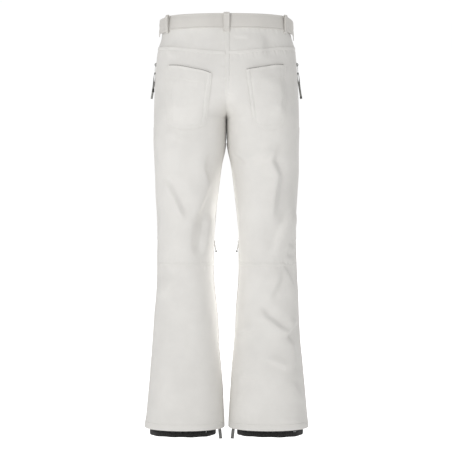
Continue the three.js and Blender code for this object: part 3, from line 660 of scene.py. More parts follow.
RIGHT_BACK_FOLDS = [
    (((112, -508), (116, -452), (127, -386), (111, -350), (130, -292)), 10, 5.0, 1.0),
    (((8, -312), (50, -346), (92, -336), (130, -308)), 8, 3.4, 0.9),
    (((178, -462), (148, -520), (112, -586)), 9, 5.2, 1.0),
    (((176, -572), (150, -562)), 6, 1.3, 1.0),
    (((178, -600), (148, -592)), 6, 1.3, 0.9),
    (((98, -704), (121, -663), (139, -616)), 9, 3.2, 1.0),
    (((178, -726), (168, -662), (155, -636), (136, -604)), 7, 3.2, 1.0),
    (((158, -788), (133, -771), (96, -742), (76, -712)), 9, 4.2, 1.0),
    (((142, -790), (160, -772), (180, -746)), 7, 3.8, 1.0),
    (((156, -886), (168, -856), (166, -816), (143, -786)), 9, 3.4, 0.9),
    (((96, -844), (125, -852), (156, -868)), 6, 2.6, 0.9),
    (((32, -883), (78, -890)), 6, 2.2, 0.9),
    (((22, -780), (52, -774), (80, -762)), 7, 2.4, 0.8),
    (((130, -998), (160, -1000), (190, -1004)), 4, 1.5, 0.9),
    (((142, -1009), (196, -1013)), 4, 1.3, 0.9),
    (((84, -104), (86, -60), (88, -22)), 14, 2.4, 0.8),
    (((128, -246), (133, -185), (124, -128)), 13, 3.2, 1.0),
    (((30, -420), (44, -500), (40, -590)), 20, 2.0, 0.5),
    (((12, -36), (36, -38), (60, -42)), 4, 1.5, 1.0),
    (((196, -960), (176, -930), (164, -900)), 10, 2.4, 0.8),
]
BACK_FOLDS = LEFT_BACK_FOLDS + RIGHT_BACK_FOLDS
FRONT_FOLDS = [
    (((-26, -240), (-70, -226), (-120, -214)), 9, 3.4, 0.9),
    (((120, -216), (66, -228), (26, -240)), 9, 3.4, 0.9),
    (((-26, -268), (-60, -282), (-96, -310)), 9, 2.6, 0.8),
    (((92, -306), (60, -284), (26, -268)), 9, 2.6, 0.8),
    (((-158, -540), (-124, -490), (-100, -430)), 14, 3.0, 0.7),
    (((158, -536), (128, -490), (104, -436)), 14, 3.0, 0.7),
    (((-170, -610), (-130, -640), (-90, -636)), 14, 2.6, 0.6),
    (((90, -640), (132, -646), (172, -618)), 14, 2.6, 0.6),
    (((-158, -760), (-120, -800), (-92, -850)), 13, 3.0, 0.8),
    (((160, -772), (124, -806), (96, -846)), 13, 3.0, 0.8),
    (((-84, -880), (-112, -930), (-120, -990)), 16, 2.4, 0.5),
    (((86, -890), (116, -940), (124, -992)), 16, 2.4, 0.5),
    (((-90, -60), (-100, -110), (-96, -170)), 18, 1.8, 0.4),
    (((98, -60), (104, -112), (98, -172)), 18, 1.8, 0.4),
]
print("folds", len(BACK_FOLDS) + len(FRONT_FOLDS))

# %% [markdown]
# The relief adds the folds of a face to the slack waves. It fades at the waistband and at the
# hem, which hold the cloth, and beside each zip. Over the gaiter it is never deep, because the
# gaiter hangs close inside the leg.
# %% Relief of the cloth
ZIP_LINES = []
CALM_NEAR, CALM_FAR = 12 * MM, 45 * MM
DEEPEST, DEEPEST_OVER_GAITER = -12 * MM, -2 * MM
GAITER_TOP = high("gaiter_right")[2]


def relief(points):
    """Height of the cloth over the bare surface: slack waves, and the folds of its face."""
    x, y, z = points[..., 0], points[..., 1], points[..., 2]
    height = 1.5 * MM * slack(points, 0.17, 3) + 0.4 * MM * slack(points, 0.06, 8)
    back = smooth(-y, 0.004, 0.03)
    front = smooth(y, 0.004, 0.03)
    height = height + back * sum(crease(x, z, *fold) for fold in BACK_FOLDS)
    height = height + front * sum(crease(x, z, *fold) for fold in FRONT_FOLDS)
    calm = smooth(-z, -BAND_LOW + 0.002, -BAND_LOW + 0.04) * smooth(z, HEM, HEM + 0.03) * 0.9 + 0.1
    for start, end in ZIP_LINES:
        way = end - start
        t = np.clip(((points - start) @ way) / (way @ way), 0, 1)
        away = np.linalg.norm(points - start - t[..., None] * way, axis=-1)
        calm = calm * smooth(away, CALM_NEAR, CALM_FAR)
    over_gaiter = smooth(-z, -GAITER_TOP - 30 * MM, -GAITER_TOP - 5 * MM)
    deepest = DEEPEST_OVER_GAITER + (DEEPEST - DEEPEST_OVER_GAITER) * (1 - over_gaiter)
    return np.maximum(height * calm, deepest)


def cloth_point(side, face, share, z, out=0.0):
    """Point of the cloth as it hangs: the bare surface, moved out by the relief and by out."""
    point = bare_point(side, face, share, z)
    normal = bare_normal(side, face, share, z)
    lift = relief(point) + out
    return point + normal * lift[..., None]


sample = relief(bare_point(1, "back", np.float64(0.5), np.float64(KNEE)))
print("relief behind the right knee", round(float(sample) / MM, 1), "mm")

# %% [markdown]
# Zips are straight, so each has a frame of its own: across the tape, along it and outwards. The
# frame is worked out from the surface at the zip's two ends, as in the plain model, and checked
# against the boxes of its solids.
# %% Frames of the zips
ZIPS = {
    "hand_pocket": dict(face="front", share=0.0, top=-90, length=165, closed=1, pull=88, width=7),
    "thigh_vent": dict(face="front", share=0.925, top=-402, length=160, closed=-1, pull=27, width=6),
    "hem": dict(face="front", share=0.815, top=-880, length=140, closed=-1, pull=54, width=9),
    "fly": dict(face="front", share=1.0, top=-25, length=120, closed=1, pull=24, width=6),
}
SHELL = 2.5 * MM
SLOT_HALF = 8.3 * MM
SIDES = (("left", -1), ("right", 1))


def zip_levels(spec):
    """Levels of a zip's two ends."""
    return spec["top"] * MM, (spec["top"] - spec["length"]) * MM


def zip_name_of(zip_name, kind, hand):
    """Name of one piece of a zip: the fly has no hand."""
    return f"{zip_name}_{kind}_{hand}".rstrip("_")


def zip_frame(side, spec):
    """Middle of the zip, and its directions across, along and out."""
    face, share = spec["face"], np.float64(spec["share"])
    top, bottom = zip_levels(spec)
    ends = [bare_point(side, face, share, np.float64(z), -SHELL / 2) for z in (top, bottom)]
    out = bare_normal(side, face, share, np.float64((top + bottom) / 2))
    if share == 1:
        for vector in (*ends, out):
            vector[0] = 0
    along = unit(ends[0] - ends[1])
    across = unit(np.cross(along, out))
    out = np.cross(across, along)
    middle = ends[0] - along * spec["length"] * MM / 2
    return middle, across, along, out


FRAMES = {}
for zip_name, spec in ZIPS.items():
    for hand, side in SIDES if zip_name != "fly" else (("", 1),):
        FRAMES[zip_name, hand] = zip_frame(side, spec)
        middle, _, along, _ = FRAMES[zip_name, hand]
        half = along * spec["length"] * MM / 2
        ZIP_LINES.append((middle - half, middle + half))
        solid = zip_name_of(zip_name, "zip", hand)
        gap = np.abs((low(solid) + high(solid)) / 2 - middle).max()
        print(solid, "lies", round(float(gap / MM), 1), "mm from its solid's middle")

# %% [markdown]
# The shell panels: on each side a back yoke, back thigh and back calf, and a front thigh, front
# knee and front shin. Each is a wall of cloth over its part of the surface. Its grid lines crowd
# together at the seams and at the slots for the zips, where the relief is sharpest. Topstitched
# seams pull the cloth into small puckers, so the height near each edge has a short ripple.
# %% Shell panels
CLOTH_THICK = 1.3 * MM
CLOTH_UNDER = 0.2 * MM
PANEL_STEP = 3.6 * MM
FINE_STEP = 0.9 * MM


def yoke_seam(part):
    """Level of the yoke seam: a slope down to the centre, with 5 mm of sag near it."""
    return YOKE_SIDE + (YOKE_CENTRE - YOKE_SIDE) * part - 5.5 * MM * smooth(part, 0.3, 0.9)


def level(z):
    """An edge at one level, whatever the part of the way round."""
    return lambda part: z + 0 * part


def puckers(distance, along, seed, depth=0.55 * MM, reach=11 * MM, pitch=13 * MM):
    """Ripple along a seam that dies away from it: sines of about one pitch, times a fall."""
    random = np.random.default_rng(seed)
    waves = sum(np.sin(2 * math.pi * along / (pitch * k) + random.uniform(0, 6.28))
                for k in (0.7, 1, 1.6))
    return depth / 1.7 * waves * np.exp(-(distance / reach) ** 2)


def panel(name, side, face, top_edge, bottom_edge, slots=(), seed=0):
    """One panel. A slot is (part at its first side, part at its second side, top, bottom)."""
    mean_width = float(width_round(face, (top_edge(0.5) + bottom_edge(0.5)) / 2))
    knots = sorted({0.0, mean_width, *(p * mean_width for s in slots for p in s[:2] if 0 < p < 1)})
    parts = graded(knots, PANEL_STEP, FINE_STEP) / mean_width
    height = float(top_edge(0.5) - bottom_edge(0.5))
    level_knots = sorted({0.0, height, *(float(top_edge(0.5) - z) for s in slots for z in s[2:])})
    drops = graded(level_knots, PANEL_STEP, FINE_STEP) / height
    part, drop = np.meshgrid(parts, drops)
    z = top_edge(part) + (bottom_edge(part) - top_edge(part)) * drop
    share = share_of(face, part, z)
    total = width_round(face, z)
    across = part * total
    edges = [(across, z), (total - across, z), (top_edge(part) - z, across),
             (z - bottom_edge(part), across)]
    ripple = sum(puckers(distance, run, seed + i) for i, (distance, run) in enumerate(edges))
    outer = cloth_point(side, face, share, z, ripple - CLOTH_UNDER)
    inner = cloth_point(side, face, share, z, ripple - CLOTH_UNDER - CLOTH_THICK)
    keep = np.ones((len(drops) - 1, len(parts) - 1), bool)
    mid_part = (parts[:-1] + parts[1:]) / 2
    mid_z = (z[:-1, :-1] + z[1:, 1:]) / 2
    for first, second, slot_top, slot_bottom in slots:
        inside = (mid_part > first) & (mid_part < second)
        keep &= ~(inside[None, :] & (mid_z < slot_top) & (mid_z > slot_bottom))
    uv = np.stack([across, z], -1)
    piece = cloth_piece(name, outer, inner, uv, "trousers", [CLOTH, LINING], keep=keep)
    cut_from(piece)
    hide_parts(name)


print("panel grid, mm:", PANEL_STEP / MM, "and", FINE_STEP / MM, "at the edges")

# %% [markdown]
# A zip lies in a slot of its panel. The pocket zips lie on the side seam, so the front and the
# back thigh each give up half of that slot. The other zips have their slots in front panels.
# %% Slots, and the panels themselves


def slot_of(zip_name, face):
    """A zip's slot: two parts of the way round, as wide apart as its tape and its clearance, and
    two levels. The zip's share becomes a part of the way round in the table of even parts."""
    top, bottom = zip_levels(ZIPS[zip_name])
    middle = (top + bottom) / 2
    row = int(np.clip((middle - LEVELS[0]) / (LEVELS[1] - LEVELS[0]), 0, len(LEVELS) - 1))
    centre = float(np.interp(ZIPS[zip_name]["share"], SHARE_TABLE[face][row], ARC_SHARES))
    half = SLOT_HALF / float(width_round(face, middle))
    return centre - half, centre + half, top, bottom


for hand, side in SIDES:
    pocket_back, pocket_front = slot_of("hand_pocket", "back"), slot_of("hand_pocket", "front")
    vent, hem, fly = (slot_of(zip_name, "front") for zip_name in ("thigh_vent", "hem", "fly"))
    panel(f"back_yoke_{hand}", side, "back", level(BAND_LOW), yoke_seam, seed=10 + side)
    panel(f"back_thigh_{hand}", side, "back", yoke_seam, level(KNEE), [pocket_back], seed=20 + side)
    panel(f"back_calf_{hand}", side, "back", level(KNEE), level(HEM), seed=30 + side)
    panel(f"front_thigh_{hand}", side, "front", level(BAND_LOW), level(FRONT_KNEE),
          [pocket_front, vent, fly], seed=40 + side)
    panel(f"front_knee_{hand}", side, "front", level(FRONT_KNEE), level(FRONT_SHIN), seed=50 + side)
    panel(f"front_shin_{hand}", side, "front", level(FRONT_SHIN), level(HEM), [hem], seed=60 + side)

# %% [markdown]
# Seams. The panels are joined with flat-felled seams: the two edges are folded into each other
# and stitched down twice, which leaves a band of cloth four layers thick. Each band is a profile
# with rounded edges and two shallow stitch grooves, carried along its line on the cloth.
# %% Seam bands and stitches
HALF_PROFILE = [(1.0, -0.3), (0.97, 0.45), (0.86, 0.85), (0.68, 1.0), (0.55, 0.78), (0.42, 1.0)]
BAND_PROFILE = [(-x, y) for x, y in HALF_PROFILE] + [(0.0, 1.08)] + HALF_PROFILE[::-1]
STITCH_ROW = 0.55
STITCH_LENGTH = 2.5 * MM
STITCH_PITCH = 3.4 * MM
STITCH_RADIUS = 0.38 * MM
STITCHES = {}


def directions(points):
    """Unit direction along a line of points, by central differences."""
    return unit(np.gradient(points, axis=0))


def run_along(points):
    """Length of the line from its start to each of its points."""
    steps = np.linalg.norm(np.diff(points, axis=0), axis=1)
    return np.concatenate([[0], np.cumsum(steps)])


def carried(points, normals, profile):
    """Profile carried along a line: across times the side direction plus up times the normal."""
    side = unit(np.cross(directions(points), normals))
    across, up = (column[None, :, None] for column in np.array(profile).T)
    return points[:, None] + side[:, None] * across + normals[:, None] * up


def sew(group, points, normals, offset=0.0, lift=0.0):
    """Notes a row of stitches beside a line: one point and direction for each stitch, spaced
    evenly along it. They become one mesh for each group at the end."""
    way = directions(points)
    side = np.cross(way, normals)
    line = points + side * offset + normals * lift
    run = run_along(line)
    at = np.arange(STITCH_PITCH / 2, run[-1], STITCH_PITCH)
    spaced = [np.stack([np.interp(at, run, grid[:, k]) for k in range(3)], 1)
              for grid in (line, way, normals)]
    STITCHES.setdefault(group, []).append(spaced)


def seam_band(name, points, normals, half=4.6 * MM, height=1.1 * MM, shift=0.0):
    """Felled seam along a line on the cloth, with a row of topstitching in each groove."""
    side = np.cross(directions(points), normals)
    centre = points + side * shift
    profile = [(across * half, up * height) for across, up in BAND_PROFILE]
    outer = carried(centre, normals, profile)
    under = carried(centre, normals, [(across, -0.9 * MM) for across, _ in profile])
    uv = stacked(np.array(profile)[None, :, 0], run_along(centre)[:, None])
    cloth_piece(name, outer, under, uv, "trousers", [CLOTH])
    for row in (-STITCH_ROW, STITCH_ROW):
        sew("body", centre, normals, row * half, 0.78 * height)


print("seam profile", len(BAND_PROFILE), "points")

# %% [markdown]
# The bands follow the edges of the panels. Side seams and inseams run down each leg, and cross
# seams run round one face of it. The centre seams lie on the plane between the legs. A band is
# shifted to the side on which its seam was folded.
# %% Seams of the trousers


def line_on_cloth(side, face, share, z):
    """Points and outward directions along a line on the cloth."""
    points = cloth_point(side, face, share, z)
    normals = bare_normal(side, face, share, z)
    return points, normals


def levels_between(z_high, z_low, step=4 * MM):
    """Even levels from high to low, about step apart."""
    return np.linspace(z_high, z_low, int(math.ceil((z_high - z_low) / step)) + 1)


def parts_line(side, face, edge, start=0.0, end=1.0, count=90):
    """A line across the cloth at an edge's level, from one part of the way round to another."""
    part = np.linspace(start, end, count)
    z = edge(part)
    return line_on_cloth(side, face, share_of(face, part, z), z)


CROSS_SEAMS = [("yoke_seam", "back", yoke_seam, 0.6),
               ("back_knee_seam", "back", level(KNEE - 2.5 * MM), 0.6),
               ("front_knee_seam", "front", level(FRONT_KNEE), 0.9),
               ("front_shin_seam", "front", level(FRONT_SHIN), 0.9)]
for hand, side in SIDES:
    z = levels_between(zip_levels(ZIPS["hand_pocket"])[1] - 5 * MM, HEM + 1 * MM)
    seam_band(f"side_seam_{hand}", *line_on_cloth(side, "back", np.zeros(len(z)), z))
    z = levels_between(CROTCH - 60 * MM, HEM + 1 * MM)
    seam_band(f"inseam_{hand}", *line_on_cloth(side, "front", np.ones(len(z)), z), half=3.6 * MM)
    for name, face, edge, height in CROSS_SEAMS:
        seam_band(f"{name}_{hand}", *parts_line(side, face, edge, 0.015, 0.985), half=4.0 * MM,
                  height=height * MM, shift=2.6 * MM * side * (1 if face == "back" else -1))


def centre_line(face, z):
    """The centre seam's line, on the plane between the two sides."""
    points, normals = line_on_cloth(1, face, np.ones(len(z)), z)
    points[:, 0] = 0
    return points, unit(normals * np.array([0, 1, 1]))


CENTRE_SHIFT = 2.5 * MM
seam_band("centre_back_seam", *centre_line("back", levels_between(BAND_LOW, CROTCH + 6 * MM)),
          half=5.2 * MM, height=1.3 * MM, shift=-CENTRE_SHIFT)
seam_band("centre_front_seam", *centre_line("front", levels_between(-150 * MM, CROTCH + 6 * MM)),
          half=4.6 * MM)

# %% [markdown]
# Hems. The leg's lower edge is turned up twice inside and stitched 16 mm above the edge, so it
# is three layers thick: a ring with a rounded lower edge, a little proud of the leg.
# %% Hems
HEM_DEPTH = 16 * MM
# The hem's section: height above the edge, and how far out it stands.
HEM_SECTION = ((HEM_DEPTH, 0.0), (HEM_DEPTH - 0.6 * MM, 0.7 * MM), (HEM_DEPTH * 0.85, 0.35 * MM),
               (HEM_DEPTH * 0.5, 0.9 * MM), (1.6 * MM, 0.9 * MM), (0.4 * MM, 0.4 * MM),
               (0.0, -0.6 * MM))


def hem_ring(side, drop, out):
    """Closed line round a leg, a drop above the hem's edge, out from the cloth."""
    back_part = np.linspace(0, 1, 110)
    z = HEM + drop + 0 * back_part
    back = cloth_point(side, "back", share_of("back", back_part, z), z, out)
    front = cloth_point(side, "front", share_of("front", back_part[::-1], z), z, out)
    return np.concatenate([back, front[1:-1]])


def ring_closed(ring):
    """The same ring with its first point once more at its end."""
    return np.concatenate([ring, ring[:1]])


for hand, side in SIDES:
    outer = np.stack([hem_ring(side, drop, out) for drop, out in HEM_SECTION])
    inner = np.stack([hem_ring(side, drop, -3.0 * MM) for drop, _ in HEM_SECTION])
    drops = np.array([drop for drop, _ in HEM_SECTION])
    uv = stacked(run_along(outer[3])[None, :], drops[:, None])
    cloth_piece(f"hem_{hand}", outer, inner, uv, "trousers", [CLOTH], ring=True)
    outwards = unit(ring_closed(outer[3] - inner[3]))
    sew("body", ring_closed(outer[2]), outwards, 0, 0.1 * MM)
print("hems", 2)

# %% [markdown]
# Back pockets. Each is a five-sided patch with a 33 mm band turned under at its mouth, stitched
# round its other sides with two rows 11 mm apart. It is a grid over the cloth between two side
# lines, from a sloping mouth to a low point. The patch is a little full, so its middle stands
# proud, and its mouth gapes a few millimetres where nothing holds it.
# %% Back pockets
MOUTH = {"left": [(35, -135), (56, -127), (81, -122), (116, -113), (150, -110)],
         "right": [(46, -126), (60, -122), (85, -118), (119, -111), (150, -108)]}
POCKET_BOTTOM = {"left": [(50, -260), (64, -270), (100, -276), (134, -268), (146, -254)],
                 "right": [(66, -258), (80, -270), (108, -276), (136, -268), (147, -254)]}
POCKET_WIDE, POCKET_TALL = 105 * MM, 155 * MM
POCKET_BAND = 33 * MM
POCKET_THICK = 0.8 * MM
NEAR_ROW = 2.2 * MM
FAR_ROW = NEAR_ROW + 10.5 * MM


def soft_line(stations, x):
    """Level of a line through (x, z) stations in mm, with its corners rounded."""
    at, value = np.array(stations).T * MM
    spread = np.linspace(-7, 7, 9) * MM
    return np.mean([np.interp(x + s, at, value) for s in spread], axis=0)


def pocket_grid(hand, across, down):
    """x and z of pocket points: across runs from the inner to the outer side, down from mouth to
    bottom. The inner side leans outwards as it goes down, and the outer side leans in a little."""
    mouth, bottom = MOUTH[hand], POCKET_BOTTOM[hand]
    inner, outer = (np.interp(down, [0, 1], [mouth[end][0] * MM, bottom[end][0] * MM])
                    for end in (0, -1))
    x = inner + (outer - inner) * across
    top, lowest = (soft_line(line, (line[0][0] + (line[-1][0] - line[0][0]) * across) * MM)
                   for line in (mouth, bottom))
    return x, top + (lowest - top) * down


def pocket_height(across, down):
    """Height of the patch over the cloth: fullness in the middle, a gaping mouth, a step at the
    turned band, and a groove under each stitch row, deepest along the inner side."""
    from_side = np.minimum(across, 1 - across) * POCKET_WIDE
    from_mouth = down * POCKET_TALL
    inset = np.minimum(from_side, (1 - down) * POCKET_TALL)
    shown = 0.3 + 0.7 * smooth(-across, -0.5, -0.2) * smooth(-down, -1.0, -0.8)
    full = 1.6 * MM * smooth(inset, 0.001, 0.04)
    gape = 1.9 * MM * smooth(-from_mouth, -0.007, 0) * smooth(from_side, 0.002, 0.012)
    band = 0.3 * MM * smooth(-from_mouth, -POCKET_BAND, -POCKET_BAND + 2.0 * MM)
    rows = sum(np.exp(-(((inset - row) / (1.3 * MM)) ** 2)) for row in (NEAR_ROW, FAR_ROW))
    between = smooth(inset, 0.003, 0.006) * smooth(-inset, -0.0115, -0.0085)
    return 0.3 * MM + full + gape + band + shown * (0.5 * between - 0.6 * rows) * MM


print("pocket stands out", round(float(pocket_height(0.5, 0.5)) / MM, 1), "mm in its middle")

# %% [markdown]
# Each pocket is then a wall of cloth over its grid. Its stitch rows are paths across that grid:
# two run down one side, along the bottom and up the other, and two run along the band.
# %% Making and sewing the back pockets


def pocket_point(hand, side, across, down, out):
    """Points on a pocket, out above its patch, and x and z there."""
    x, z = pocket_grid(hand, across, down)
    return cloth_point(side, "back", share_at_x("back", x, z), z, out), x, z


def sew_pocket(hand, side, across, down):
    """A row of stitches along a path across the pocket's grid."""
    lift = pocket_height(across, down) + POCKET_THICK
    line, x, z = pocket_point(hand, side, across, down, lift)
    sew("body", line, bare_normal(side, "back", share_at_x("back", x, z), z), 0, 0.05 * MM)


ACROSS_KNOTS = [0, FAR_ROW, POCKET_WIDE - FAR_ROW, POCKET_WIDE]
DOWN_KNOTS = [0, POCKET_BAND, POCKET_TALL - FAR_ROW, POCKET_TALL]
for hand, side in SIDES:
    across, down = np.meshgrid(graded(ACROSS_KNOTS, 2.4 * MM, 0.8 * MM) / POCKET_WIDE,
                               graded(DOWN_KNOTS, 2.4 * MM, 0.8 * MM) / POCKET_TALL)
    x, z = pocket_grid(hand, across, down)
    wrinkle = 0.5 * MM * slack(np.stack([x, z, 0 * x], -1), 0.045, 40 + side)
    lift = pocket_height(across, down) + wrinkle * smooth(np.minimum(across, 1 - across), 0, 0.2)
    outer = pocket_point(hand, side, across, down, lift + POCKET_THICK)[0]
    inner = pocket_point(hand, side, across, down, lift)[0]
    uv = np.stack([x, z], -1)
    piece = cloth_piece(f"back_pocket_{hand}", outer, inner, uv, "trousers", [CLOTH])
    cut_from(piece)
    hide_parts(f"back_pocket_{hand}")
    for inset in (NEAR_ROW, FAR_ROW):
        a, d = inset / POCKET_WIDE, inset / POCKET_TALL
        bottom_run = np.linspace(a, 1 - a, 50)[1:-1]
        side_run = np.linspace(0, 1 - d, 60)
        sew_pocket(hand, side,
                   np.concatenate([np.full(60, a), bottom_run, np.full(60, 1 - a)]),
                   np.concatenate([side_run, np.full(48, 1 - d), side_run[::-1]]))
    for drop in (1.5 * MM, POCKET_BAND - 1.5 * MM):
        sew_pocket(hand, side, np.linspace(0.02, 0.98, 60), np.full(60, drop / POCKET_TALL))
print("back pockets", 2)

# %% [markdown]
# Inner pieces. The hand pockets' bags and the shield behind the fly are thin lining cloth, close
# behind the panels and clear of the zips' sliders.
# %% Pocket bags and fly shield
BAG_LOW = low("pocket_bag_right")[2]
BAG_TALL = 190 * MM


def inner_sheet(name, side, spans, z_high, z_low, depth, seed):
    """A slack sheet of lining behind the front panel, from one share to another."""
    share, z = np.meshgrid(np.linspace(*spans, 40), np.linspace(z_high, z_low, 60))
    point = bare_point(side, "front", share, z)
    normal = bare_normal(side, "front", share, z)
    lift = -depth + 0.4 * MM * slack(point, 0.04, seed)
    outer = point + normal * lift[..., None]
    inner = outer - normal * 0.6 * MM
    uv = np.stack([share * 0.25, z], -1)
    piece = cloth_piece(name, outer, inner, uv, "trousers", [LINING])
    cut_from(piece)
    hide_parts(name)


for hand, side in SIDES:
    inner_sheet(f"pocket_bag_{hand}", side, (0.07, 0.5), BAG_LOW + BAG_TALL, BAG_LOW, 7.0 * MM, 5)
inner_sheet("fly_shield", 1, (0.86, 0.995), high("fly_shield")[2], low("fly_shield")[2], 6.6 * MM, 6)
print("inner pieces", 3)

# %% [markdown]
# Waistband. A strip of cloth folded over a stiffener: 36 mm high, topstitched along both edges,
# open at the centre front under its tab. Its section is a rounded bar, carried right round the
# waist from one side of the opening to the other, with a facing of lining inside it.
# %% Waistband and facing
BAND_HEIGHT = TOP - BAND_LOW
JOINTS = {joint["child"]: joint for joint in frame["joints"]}
BAND_THICK = 3.0 * MM


def waist_line(z, out, count=110):
    """Points round the waist from the front opening, over the wearer's right side, to the other
    side of the opening, and the outward directions there."""
    part = np.linspace(0, 1, count)
    quarters = [(1, "front", part[::-1]), (1, "back", part), (-1, "back", part[::-1]),
                (-1, "front", part)]
    points, normals = [], []
    for side, face, way in quarters:
        share = share_of(face, way, z + 0 * way)
        points.append(bare_point(side, face, share, z + 0 * way))
        normals.append(bare_normal(side, face, share, z + 0 * way))
    points, normals = np.concatenate(points), np.concatenate(normals)
    keep = np.concatenate([[True], np.linalg.norm(np.diff(points, axis=0), axis=1) > 1e-5])
    points, normals = points[keep], normals[keep]
    height = 0.45 * MM * slack(points * np.array([1, 1, 0.3]), 0.09, 14)
    return points + normals * (out + height)[:, None], normals


BAND_SECTION = [(1.0, -0.4), (0.985, 0.0), (0.95, 0.3), (0.915, 0.35), (0.89, 0.0), (0.865, 0.35),
                (0.6, 0.9), (0.35, 1.1), (0.15, 1.0), (0.115, 0.85), (0.09, 0.4), (0.065, 1.0),
                (0.02, 1.7), (-0.01, 1.7), (-0.03, 0.6), (-0.02, -0.8)]
outer = np.stack([waist_line(BAND_LOW + up * BAND_HEIGHT, out * MM + 0.3 * MM)[0]
                  for up, out in BAND_SECTION])
inner = np.stack([waist_line(BAND_LOW + np.clip(up, 0.0, 0.97) * BAND_HEIGHT, -BAND_THICK + 0.4 * MM)[0]
                  for up, _ in BAND_SECTION])
around = run_along(outer[5])
heights = np.array([up for up, _ in BAND_SECTION]) * BAND_HEIGHT
uv = stacked(around[None, :], heights[:, None])
band = cloth_piece("waistband", outer, inner, uv, "trousers", [BAND_CLOTH])
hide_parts("waistband")
for up in (0.9, 0.09):
    line, normals = waist_line(BAND_LOW + up * BAND_HEIGHT, 0.45 * MM)
    sew("body", line, normals)
facing_levels = levels_between(TOP - 3 * MM, BAND_LOW - 2 * MM)
facing_outer = np.stack([waist_line(z, -BAND_THICK)[0] for z in facing_levels])
facing_inner = np.stack([waist_line(z, -BAND_THICK - 1.0 * MM)[0] for z in facing_levels])
uv = stacked(around[None, :], facing_levels[:, None])
facing = cloth_piece("waistband_facing", facing_outer, facing_inner, uv, "trousers", [LINING])
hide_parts("waistband_facing")
print("waistband", round(float(around[-1]), 3), "m round")

# %% [markdown]
# Straps. Belt loops, the front tab, the side adjusters and the zip pulls are all flat strips of
# folded cloth or webbing. One function carries a flat section with rounded, slightly thicker
# edges along a line, with the strap's width lying along a given direction.
# %% Belt loops


def strap_wall(line, across, half, thick, edge=0.18):
    """Outer and inner grids of a flat strap. line is (n, 3), across the unit direction of its
    width, half its half width (a number or one for each point), thick its thickness."""
    way = directions(line)
    across = np.broadcast_to(across, line.shape)
    across = unit(across - (across * way).sum(1, keepdims=True) * way)
    up = np.cross(across, way)
    sides = np.array([-1, -0.96, -0.88, -0.72, -0.62, 0, 0.62, 0.72, 0.88, 0.96, 1])
    rise_half = [0.1, 0.75, 1 + edge, 1 + edge / 2, 0.85]
    rise = np.array([*rise_half, 1, *rise_half[::-1]])
    half = np.broadcast_to(half, (len(line),))
    base = line[:, None] + across[:, None] * (sides[None, :, None] * half[:, None, None])
    lift = (rise * thick / 2)[None, :, None] * up[:, None]
    uv = stacked(sides[None, :] * half[:, None], run_along(line)[:, None])
    return base + lift, base - lift, uv, up


def rounded_path(corners, radius, step=0.8 * MM):
    """A line through corners with each corner cut by a smooth curve: the line is sampled finely
    and averaged over a window of twice the radius."""
    corners = np.array(corners, float)
    run = run_along(corners)
    at = np.arange(0, run[-1] + step / 2, step)
    window = np.linspace(-radius, radius, 15)
    return np.stack([np.mean([np.interp(at + w, run, corners[:, k]) for w in window], axis=0)
                     for k in range(3)], 1)


LOOP_HALF = 7.6 * MM
LOOP_STRAP = 1.7 * MM


def belt_loop(name, side, face, x, half=LOOP_HALF, tail=8.0):
    """A loop of folded cloth: turned over the top edge of the band, standing off it for the belt,
    and sewn down under it, with a bar tack at each end."""
    share = share_at_x(face, np.float64(x), np.float64(BAND_LOW))
    seat = bare_point(side, face, share, np.float64(BAND_LOW))
    out = bare_normal(side, face, share, np.float64(BAND_LOW))
    across = np.cross(out, [0, 0, 1])
    route = [(0.6, BAND_LOW + 3 * MM), (1.4, BAND_LOW - 3 * MM), (2.6, BAND_LOW - (tail + 2.4) * MM),
             (4.8, BAND_LOW - (tail + 1) * MM), (5.6, BAND_LOW + 4 * MM), (6.0, 0.0),
             (5.8, TOP - 6 * MM), (5.2, TOP + 0.9 * MM), (2.0, TOP + 1.3 * MM), (0.2, TOP - 1.5 * MM),
             (0.5, TOP - 6 * MM)]
    corners = [seat * np.array([1, 1, 0]) + out * (o * MM) + np.array([0, 0, z]) for o, z in route]
    line = rounded_path(corners, 2.2 * MM)
    outer, inner, uv, up = strap_wall(line, across, half, LOOP_STRAP)
    piece = cloth_piece(name, outer, inner, uv, "trousers", [BAND_CLOTH])
    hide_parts(name)
    on_band = (line[:, 2] > BAND_LOW - 5 * MM) & (line[:, 2] < TOP - 1 * MM)
    front = on_band & (((line - seat) @ out) > 4.2 * MM)
    away = np.sign((up[front] @ out).mean())
    for offset in (-0.66, 0.66):
        sew("body", line[front], up[front] * away, offset * half, LOOP_STRAP * 0.5)
    for level_z in (BAND_LOW - 1.5 * MM, TOP - 5 * MM):
        index = np.where(front)[0][np.argmin(np.abs(line[front][:, 2] - level_z))]
        for row in (-0.9 * MM, 0, 0.9 * MM):
            centre = line[index] + up[index] * away * LOOP_STRAP * 0.55 + directions(line)[index] * row
            bar = centre + np.linspace(-0.9, 0.9, 30)[:, None] * half * across
            sew("tacks", bar, np.broadcast_to(up[index] * away, bar.shape))


BACK_LOOP_X = float(high("waistband")[0]) - 17 * MM
belt_loop("belt_loop_centre_back", 1, "back", 0.15 * MM)
for hand, side in SIDES:
    belt_loop(f"belt_loop_back_{hand}", side, "back", BACK_LOOP_X, 5.0 * MM, 6.0)
    belt_loop(f"belt_loop_front_{hand}", side, "front", 100 * MM)
print("belt loops", 5)

# %% [markdown]
# Side adjusters. A short tab of folded cloth starts under the loop behind each side seam, wraps round the
# hip and closes forwards on a pad of hook-and-loop tape. It is stiff enough to stand off the band, and its
# free end droops, more on the right than on the left.
# %% Side adjusters and their pads
TAB_BACK, TAB_FRONT = -66 * MM, 8 * MM
HIP_WIDE, HIP_DEEP, HIP_POWER = 163 * MM, 117 * MM, 2.35
# How far the middle line droops at the sewn and the free end, and the lower corner, in mm.
TAB_DROOP = {"left": (-4.0, -6.5, -3.0), "right": (-3.0, -15.0, -5.0)}


